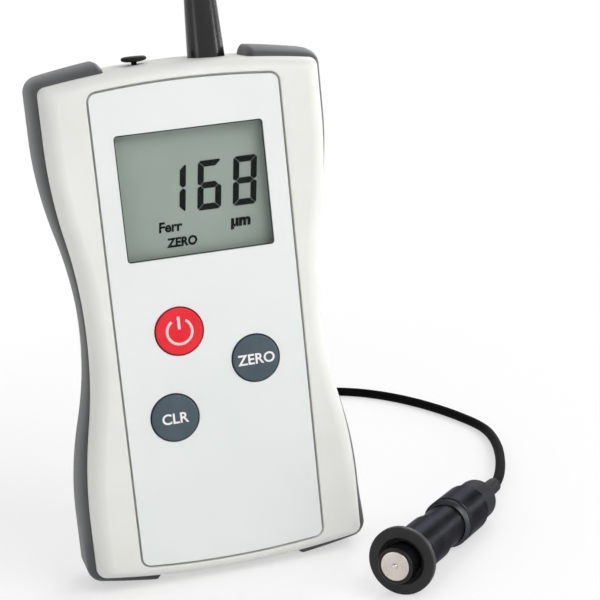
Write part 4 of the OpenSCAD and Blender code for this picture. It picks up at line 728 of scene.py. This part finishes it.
# Turned nylon of the nose: black, half glossy.
nose_nylon = turned("black_nylon_turning", "#0D0D0F", "#141417", pitch=0.5, relief=0.003, rough=0.30,
                    Specular_IOR_Level=0.3)


def probe_turning(name, profile, soft, steps, finish, body, slot, node, segments=96):
    """Turned ring of the probe: corners (radius, distance behind the tip), softened and carried round."""
    lathe(name, softened(profile, soft, steps, True), TIP, AXIS, finish, body, slot, node, segments=segments)


tail_profile = [[1.2, Q_TAIL - 1.8], [3, Q_TAIL - 1.8], [3, Q_TAIL], [TAIL_R, Q_TAIL], [TAIL_R, Q_TUBE],
                [2.2, Q_TUBE], [2.1, Q_TUBE + 0.9], [1.75, Q_END], [1.2, Q_END]]
tail_soft = [0.1, 0.1, 0.1, 0.25, 1.2, 0.6, 0.5, 0.4, 0.1]
probe_turning("tail_boot", tail_profile, tail_soft, 6, tail_rubber, "gauge", "probe_boot_grey", "probe_boot")
cap_profile = [[NECK_R, Q_RIM], [CAP_R, Q_RIM], [CAP_R, Q_RIM + 0.3], [CAP_R - 0.3, Q_RIM + 0.6],
               [CAP_R - 0.3, Q_RIM + 1.2], [CAP_R, Q_RIM + 1.5], [CAP_R, Q_TAIL - CAP_BEVEL],
               [CAP_R - CAP_BEVEL, Q_TAIL], [3, Q_TAIL], [3, Q_TAIL - 3], [NECK_R, Q_TAIL - 3]]
probe_turning("rear_cap", cap_profile, 0.15, 4, probe_black, "gauge", "probe_black", "probe_cap")
rim_profile = [[NECK_R, Q_CAP], [CAP_R - 0.6, Q_CAP], [CAP_R, Q_CAP + 0.7 * RIM_L], [CAP_R, Q_RIM],
               [NECK_R, Q_RIM]]
probe_turning("bright_rim", rim_profile, 0.1, 4, probe_bright, "gauge", "probe_rim", "probe_ring")
sleeve_profile = [[4.55, Q_SLEEVE], [SLEEVE_R, Q_SLEEVE], [SLEEVE_R, Q_NECK - 0.25],
                  [SLEEVE_R - 0.25, Q_NECK], [NECK_R, Q_NECK], [NECK_R, Q_CAP + 9], [3.8, Q_CAP + 9],
                  [3.8, Q_NECK - 0.9], [4.55, Q_NECK - 0.9]]
probe_turning("probe_tube", sleeve_profile, 0.12, 4, probe_black, "gauge", "probe_black", "probe_sleeve")
flange_profile = [[BORE_R, NOSE_OUT + 0.85], [BORE_R + 0.7, NOSE_OUT + 0.28], [BORE_R + 0.85, NOSE_OUT],
                  [FLANGE_R, NOSE_OUT], [FLANGE_R, Q_SLEEVE], [BORE_R, Q_SLEEVE]]
probe_turning("front_flange", flange_profile, [0.1, 0.15, 0.2, 0.4, 0.4, 0.1], 5, flange_black, "gauge",
              "probe_black", "probe_flange", segments=128)
nose_profile = [[CONTACT_R, 0.5], [NOSE_R, 0.5], [NOSE_R, Q_SLEEVE + 0.1], [NOSE_COLLAR_R, Q_SLEEVE + 0.1],
                [NOSE_COLLAR_R, Q_SLEEVE + NOSE_L], [2.0, Q_SLEEVE + NOSE_L], [2.0, Q_SLEEVE + 10],
                [2.9, Q_SLEEVE + 10], [2.9, CONTACT_BACK], [CONTACT_R, CONTACT_BACK]]
nose_soft = [0.05, 0.35, 0.05, 0.05, 0.1, 0.1, 0.1, 0.1, 0.1, 0.05]
probe_turning("sliding_nose", nose_profile, nose_soft, 5, nose_nylon, "plunger", "probe_black",
              "probe_plunger")
contact_profile = [[POLE_R, 0.4], [CONTACT_R, 0.4], [CONTACT_R, CONTACT_BACK], [POLE_R, CONTACT_BACK]]
probe_turning("contact_disc", contact_profile, [0.08, 0.22, 0.05, 0.05], 5, contact_steel, "plunger",
              "contact_steel", "contact_face")
pole_turn = np.radians(np.linspace(0, 90, 9))
pole_dome = np.stack([POLE_R * np.sin(pole_turn), 0.36 * (1 - np.cos(pole_turn))], axis=1)
lathe("contact_pole", np.vstack([pole_dome, [[POLE_R, POLE_L], [0.0, POLE_L]]]), TIP, AXIS, pole_steel,
      "plunger", "contact_steel", "pole_tip", segments=48)
SPRING_L, SPRING_R, SPRING_TURNS, SPRING_WIRE_R, SPRING_GAP, PRESS = 12.8, 3.0, 6, 0.35, 0.1, 2.0
Q_SPRING = Q_SLEEVE + NOSE_L + SPRING_GAP
coils = spring(TIP + Q_SPRING * AXIS, AXIS, SPRING_L, SPRING_R, SPRING_R, SPRING_TURNS, SPRING_WIRE_R)
nose_spring = piece("nose_spring", coils.reshape(-1, 3), grid_faces(*coils.shape[:2]), steel, "gauge",
                    "bright_steel", "probe_spring")
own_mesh(nose_spring)
# Enamelled copper wire of the sensor coil: warm brown, finely uneven.
copper_winding = surface("enamelled_copper_winding", "#97582A", "#AE6C35", patch=2, grain=0.2, relief=0.01,
                         rough=0.35, Metallic=0.8)
dress(copper_winding, "copper", "sensor_coil")

# The probe's cable is about one metre of thin black PVC lead. It leaves the boot upward, bends over behind
# the gauge, drops to a tied coil there, and runs round on the table to the probe's tail.
COIL_X, COIL_Y, COIL_R, TIE_T = 6.0, BODY_D / 2 + 35.5, 13.75, 0.6
COIL_Z = 1.5 * CABLE_D + TIE_T
COIL_TURNS, TURN_POINTS, STRAND_PITCH, MOVE_FIRST, MOVE_SPAN = 6, 20, 1.02, 10, 55
FALL_X, FALL_BEND, RISE_L = 15.5, 13.0, 9.5
STRAND_UP = CABLE_D * math.sin(math.radians(60))
FALL_Y = COIL_Y + 1 - FALL_BEND
ARCH_R = math.hypot(FALL_X - PORT_X, FALL_Y) / 2
ARCH_Z = BOOT_TOP + RISE_L
FALL_END = np.array([COIL_X + COIL_R, COIL_Y + 1, COIL_Z + STRAND_UP])
LIE_Z = 0.52 * CABLE_D


def rise_route():
    """Straight up out of the boot, over in half a circle, down behind the gauge and round a quarter bend to
    the coil."""
    z = np.array([BOOT_IN_Z - 7, SEAT_Z, SEAT_Z + 10, SEAT_Z + 20, BOOT_TOP])
    up = np.stack([np.full(5, PORT_X), np.zeros(5), z], axis=1)
    a = np.radians(np.arange(0, 180, 15))
    u = (1 - np.cos(a)) / 2
    arch = np.stack([PORT_X + u * (FALL_X - PORT_X), u * FALL_Y, ARCH_Z + ARCH_R * np.sin(a)], axis=1)
    v = np.linspace(0, 1, 10)
    s = v * v * (3 - 2 * v)
    fall = np.stack([FALL_X + s * (FALL_END[0] - FALL_X), np.full(10, FALL_Y),
                     ARCH_Z + v * (FALL_END[2] + FALL_BEND - ARCH_Z)], axis=1)
    b = np.radians(np.arange(15, 76, 15))
    bend = np.stack([np.full(len(b), FALL_END[0]), FALL_Y + FALL_BEND * (1 - np.cos(b)),
                     FALL_END[2] + FALL_BEND * (1 - np.sin(b))], axis=1)
    return np.vstack([up, arch, fall, bend])


def coil_route():
    """Six turns in the seven places of a hexagon bundle. In each turn the lead moves on to the next free
    place, the last turn first, so that no two turns share a place; moves between ring places follow the ring,
    and moves to or from the middle go straight."""
    place = np.radians([60, 120, 180, 240, 240, 0, -60])
    reach = np.array([1, 1, 1, 1, 0, 1, 1]) * CABLE_D * STRAND_PITCH
    theta = np.linspace(4, 360 * COIL_TURNS - 6, COIL_TURNS * TURN_POINTS)
    turn = np.minimum(theta // 360, COIL_TURNS - 1).astype(int)
    m = np.clip((theta % 360 - MOVE_FIRST - MOVE_SPAN * (COIL_TURNS - 1 - turn)) / MOVE_SPAN, 0, 1)
    m = m * m * (3 - 2 * m)
    a1 = place[turn + 1]
    a0 = np.where(reach[turn] == 0, a1, place[turn])
    a = a0 + m * (a1 - a0)
    r = reach[turn] + m * (reach[turn + 1] - reach[turn])
    first = np.clip(theta / 60, 0, 1)
    t = np.radians(theta)
    out = COIL_R + r * np.cos(a) * first
    return np.stack([COIL_X + out * np.cos(t), COIL_Y + out * np.sin(t), COIL_Z + r * np.sin(a)], axis=1)


def bend(a, da, b, db, n):
    """Cubic curve from a to b that leaves a along da and reaches b along db, without its first point."""
    u = np.linspace(0, 1, n + 1)[1:, None]
    v = 1 - u
    return v**3 * a + 3 * v * v * u * (a + da) + 3 * v * u * u * (b - db) + u**3 * b


def lead_route():
    """Along the table from the coil, round behind on the right and forward into the probe's tail."""
    start = np.array([COIL_X + COIL_R + CABLE_D / 2, COIL_Y - 1, COIL_Z - STRAND_UP])
    far, side = np.array([56.7, 122.7, LIE_Z]), np.array([85.5, 63.8, LIE_Z])
    far_way, side_way = np.array([0.96, -0.28, 0]), np.array([0.11, -0.994, 0])
    tail = TIP + Q_END * AXIS
    return np.vstack([bend(start, np.array([0, 28.7, 0]), far, 23.1 * far_way, 11),
                      bend(far, 15.7 * far_way, side, 23.9 * side_way, 9),
                      bend(side, 16.7 * side_way, tail, -6.7 * AXIS, 9),
                      TIP + (Q_END - 5) * AXIS, TIP + (Q_TAIL + 4) * AXIS])


# Soft PVC jacket: black, dull, faintly uneven.
cable_pvc = surface("black_pvc_jacket", "#0B0B0C", "#131315", patch=7, grain=0.9, relief=0.008, rough=0.5,
                    Specular_IOR_Level=0.01)
route = np.vstack([rise_route(), coil_route(), lead_route()]) * MM
lead_curve = bpy.data.curves.new("probe_lead", "CURVE")
lead_curve.dimensions, lead_curve.use_fill_caps = "3D", True
lead_curve.bevel_depth, lead_curve.bevel_resolution, lead_curve.resolution_u = CABLE_D / 2 * MM, 5, 6
spline = lead_curve.splines.new("BEZIER")
spline.bezier_points.add(len(route) - 1)
spline.bezier_points.foreach_set("co", route.ravel())
for point in spline.bezier_points:
    point.handle_left_type = point.handle_right_type = "AUTO"
lead_curve.materials.append(cable_pvc)
probe_lead = placed("probe_lead", lead_curve, "gauge", "cable_black",
                    "cable_rise", "cable_coil", "cable_lead")
# Woven hook tape of the tie: dark grey, matt, with a coarse nap.
hook_tape = surface("woven_hook_tie", "#2A2B2F", "#34353A", patch=3, grain=0.35, relief=0.03, rough=0.8)
dress(hook_tape, "tie_grey", "coil_tie")

# The table is a plain white paper sheet that rises at its far rim. Near the object the paper takes its
# shadow; further off it shows as plain white to the camera, to gloss and through glass.
SHEET_IN, SHEET_OUT, SHEET_RISE = 6.0, 9.0, 4.0
NEAR, FAR, NEAR_WHITE, FIBRE = 0.12, 0.30, 0.55, 2.5
table_paper = bpy.data.materials.new("white_backdrop_paper")
table_paper.use_nodes = True
tree = table_paper.node_tree
paper = tree.nodes["Principled BSDF"]
paper.inputs["Roughness"].default_value = 0.9
at = add(tree, "ShaderNodeTexCoord").outputs["Object"]
fibre = add(tree, "ShaderNodeTexNoise", {"Vector": at, "Scale": 1000 / FIBRE, "Detail": 3.0})
white = add(tree, "ShaderNodeValToRGB", {"Fac": fibre.outputs["Fac"]})
white.color_ramp.elements[0].color = linear("#F7F7F7")
white.color_ramp.elements[1].color = linear("#FCFCFC")
tree.links.new(white.outputs["Color"], paper.inputs["Base Color"])
away = add(tree, "ShaderNodeVectorMath", {0: at}, operation="LENGTH").outputs["Value"]
far = add(tree, "ShaderNodeMapRange",
          {"Value": away, "From Min": NEAR, "From Max": FAR, "To Min": NEAR_WHITE},
          interpolation_type="SMOOTHSTEP").outputs["Result"]
path = add(tree, "ShaderNodeLightPath").outputs
seen = add(tree, "ShaderNodeMath", {0: path["Is Camera Ray"], 1: path["Is Glossy Ray"]}, operation="MAXIMUM")
seen = add(tree, "ShaderNodeMath", {0: seen.outputs[0], 1: path["Is Transmission Ray"]}, operation="MAXIMUM")
share = add(tree, "ShaderNodeMath", {0: far, 1: seen.outputs[0]}, operation="MULTIPLY").outputs[0]
glow = add(tree, "ShaderNodeEmission", {"Color": (1, 1, 1, 1), "Strength": 1.0}).outputs["Emission"]
mixed = add(tree, "ShaderNodeMixShader", {0: share, 1: paper.outputs["BSDF"], 2: glow})
tree.links.new(mixed.outputs["Shader"], tree.nodes["Material Output"].inputs["Surface"])
floor_mesh = bpy.data.meshes.new("table_sheet")
corners = np.array([(-1, -1), (1, -1), (1, 1), (-1, 1)])
sheet = np.vstack([np.c_[SHEET_IN * corners, np.zeros(4)],
                   np.c_[SHEET_OUT * corners, np.full(4, SHEET_RISE)]])
around = np.arange(4)
after = np.roll(around, -1)
rim = np.stack([around, around + 4, after + 4, after], axis=1)
floor_mesh.from_pydata(sheet.tolist(), [], [[0, 1, 2, 3], *rim.tolist()])
floor_mesh.materials.append(table_paper)
linked("table_sheet", floor_mesh)

# The light is a soft studio set. A broad lamp stands at the upper right in front and one behind, small low
# lamps at the right, left and right rear draw the streaks on rubber and metal, and a grey surround, brighter
# overhead, fills the rest.
SURROUND_LOW, SURROUND_HIGH = 0.34, 0.64
world = bpy.data.worlds.new("grey_surround")
bpy.context.scene.world = world
world.use_nodes = True
sky = world.node_tree
surround = sky.nodes["Background"]
toward = add(sky, "ShaderNodeTexCoord").outputs["Generated"]
height = add(sky, "ShaderNodeSeparateXYZ", {"Vector": toward}).outputs["Z"]
level = add(sky, "ShaderNodeMapRange", {"Value": height, "To Min": SURROUND_LOW, "To Max": SURROUND_HIGH})
surround.inputs["Color"].default_value = (1, 1, 1, 1)
sky.links.new(level.outputs["Result"], surround.inputs["Strength"])


def lamp(name, place, aim, width, power):
    """Square soft lamp of a width at a place, both in metres, turned so that its front faces its aim."""
    data = bpy.data.lights.new(name, "AREA")
    data.shape, data.size, data.energy = "SQUARE", width, power
    made = linked(name, data)
    made.location = place
    made.rotation_mode = "QUATERNION"
    made.rotation_quaternion = (Vector(place) - Vector(aim)).to_track_quat("Z", "Y")


lamp("key_lamp", (0.60, -0.90, 0.90), (0.0, 0.0, 0.05), 0.8, 8.4)
lamp("side_lamp", (0.45, -0.18, 0.075), (0.0, 0.0, 0.08), 0.08, 0.36)
lamp("fill_lamp", (-0.45, -0.215, 0.08), (0.0, 0.0, 0.08), 0.14, 0.18)
lamp("rim_lamp", (0.45, 0.17, 0.06), (0.04, -0.02, 0.01), 0.08, 0.2)
lamp("back_lamp", (0.75, 1.00, 0.80), (0.04, -0.02, 0.02), 0.6, 6.0)

# The camera looks at the gauge from the left, a little above, and is turned slightly about its own axis, as
# the photograph was taken. It is set by angles and by its focal length in pixels of the square image.
ELEVATION, BEARING, ROLL, DISTANCE = math.radians(12.0), math.radians(10.5), math.radians(5.6), 400.0
YAW, PITCH, FOCAL_PX, IMAGE_PX, SENSOR = math.radians(3.27), math.radians(0.05), 1800.0, 600, 36.0
back = np.array([-math.sin(BEARING) * math.cos(ELEVATION), -math.cos(BEARING) * math.cos(ELEVATION),
                 math.sin(ELEVATION)])
right = np.array([math.cos(BEARING), -math.sin(BEARING), 0])
ahead = -back + math.tan(YAW) * right + math.tan(PITCH) * np.cross(back, right)
ahead /= np.linalg.norm(ahead)
right = np.cross(ahead, [0, 0, 1])
right /= np.linalg.norm(right)
up = np.cross(right, ahead)
side_way = math.cos(ROLL) * right - math.sin(ROLL) * up
up_way = math.sin(ROLL) * right + math.cos(ROLL) * up
view = bpy.data.cameras.new("photo_camera")
view.sensor_width, view.lens = SENSOR, FOCAL_PX / IMAGE_PX * SENSOR
view.clip_start, view.clip_end = 0.01, 20.0
camera = linked("photo_camera", view)
eye = (np.array([0, 0, MID_Z]) + DISTANCE * back) * MM
camera.matrix_world = Matrix([*np.stack([side_way, up_way, -ahead, eye], axis=1).tolist(), [0, 0, 0, 1]])
bpy.context.scene.camera = camera
bpy.context.scene.view_settings.view_transform = "Standard"
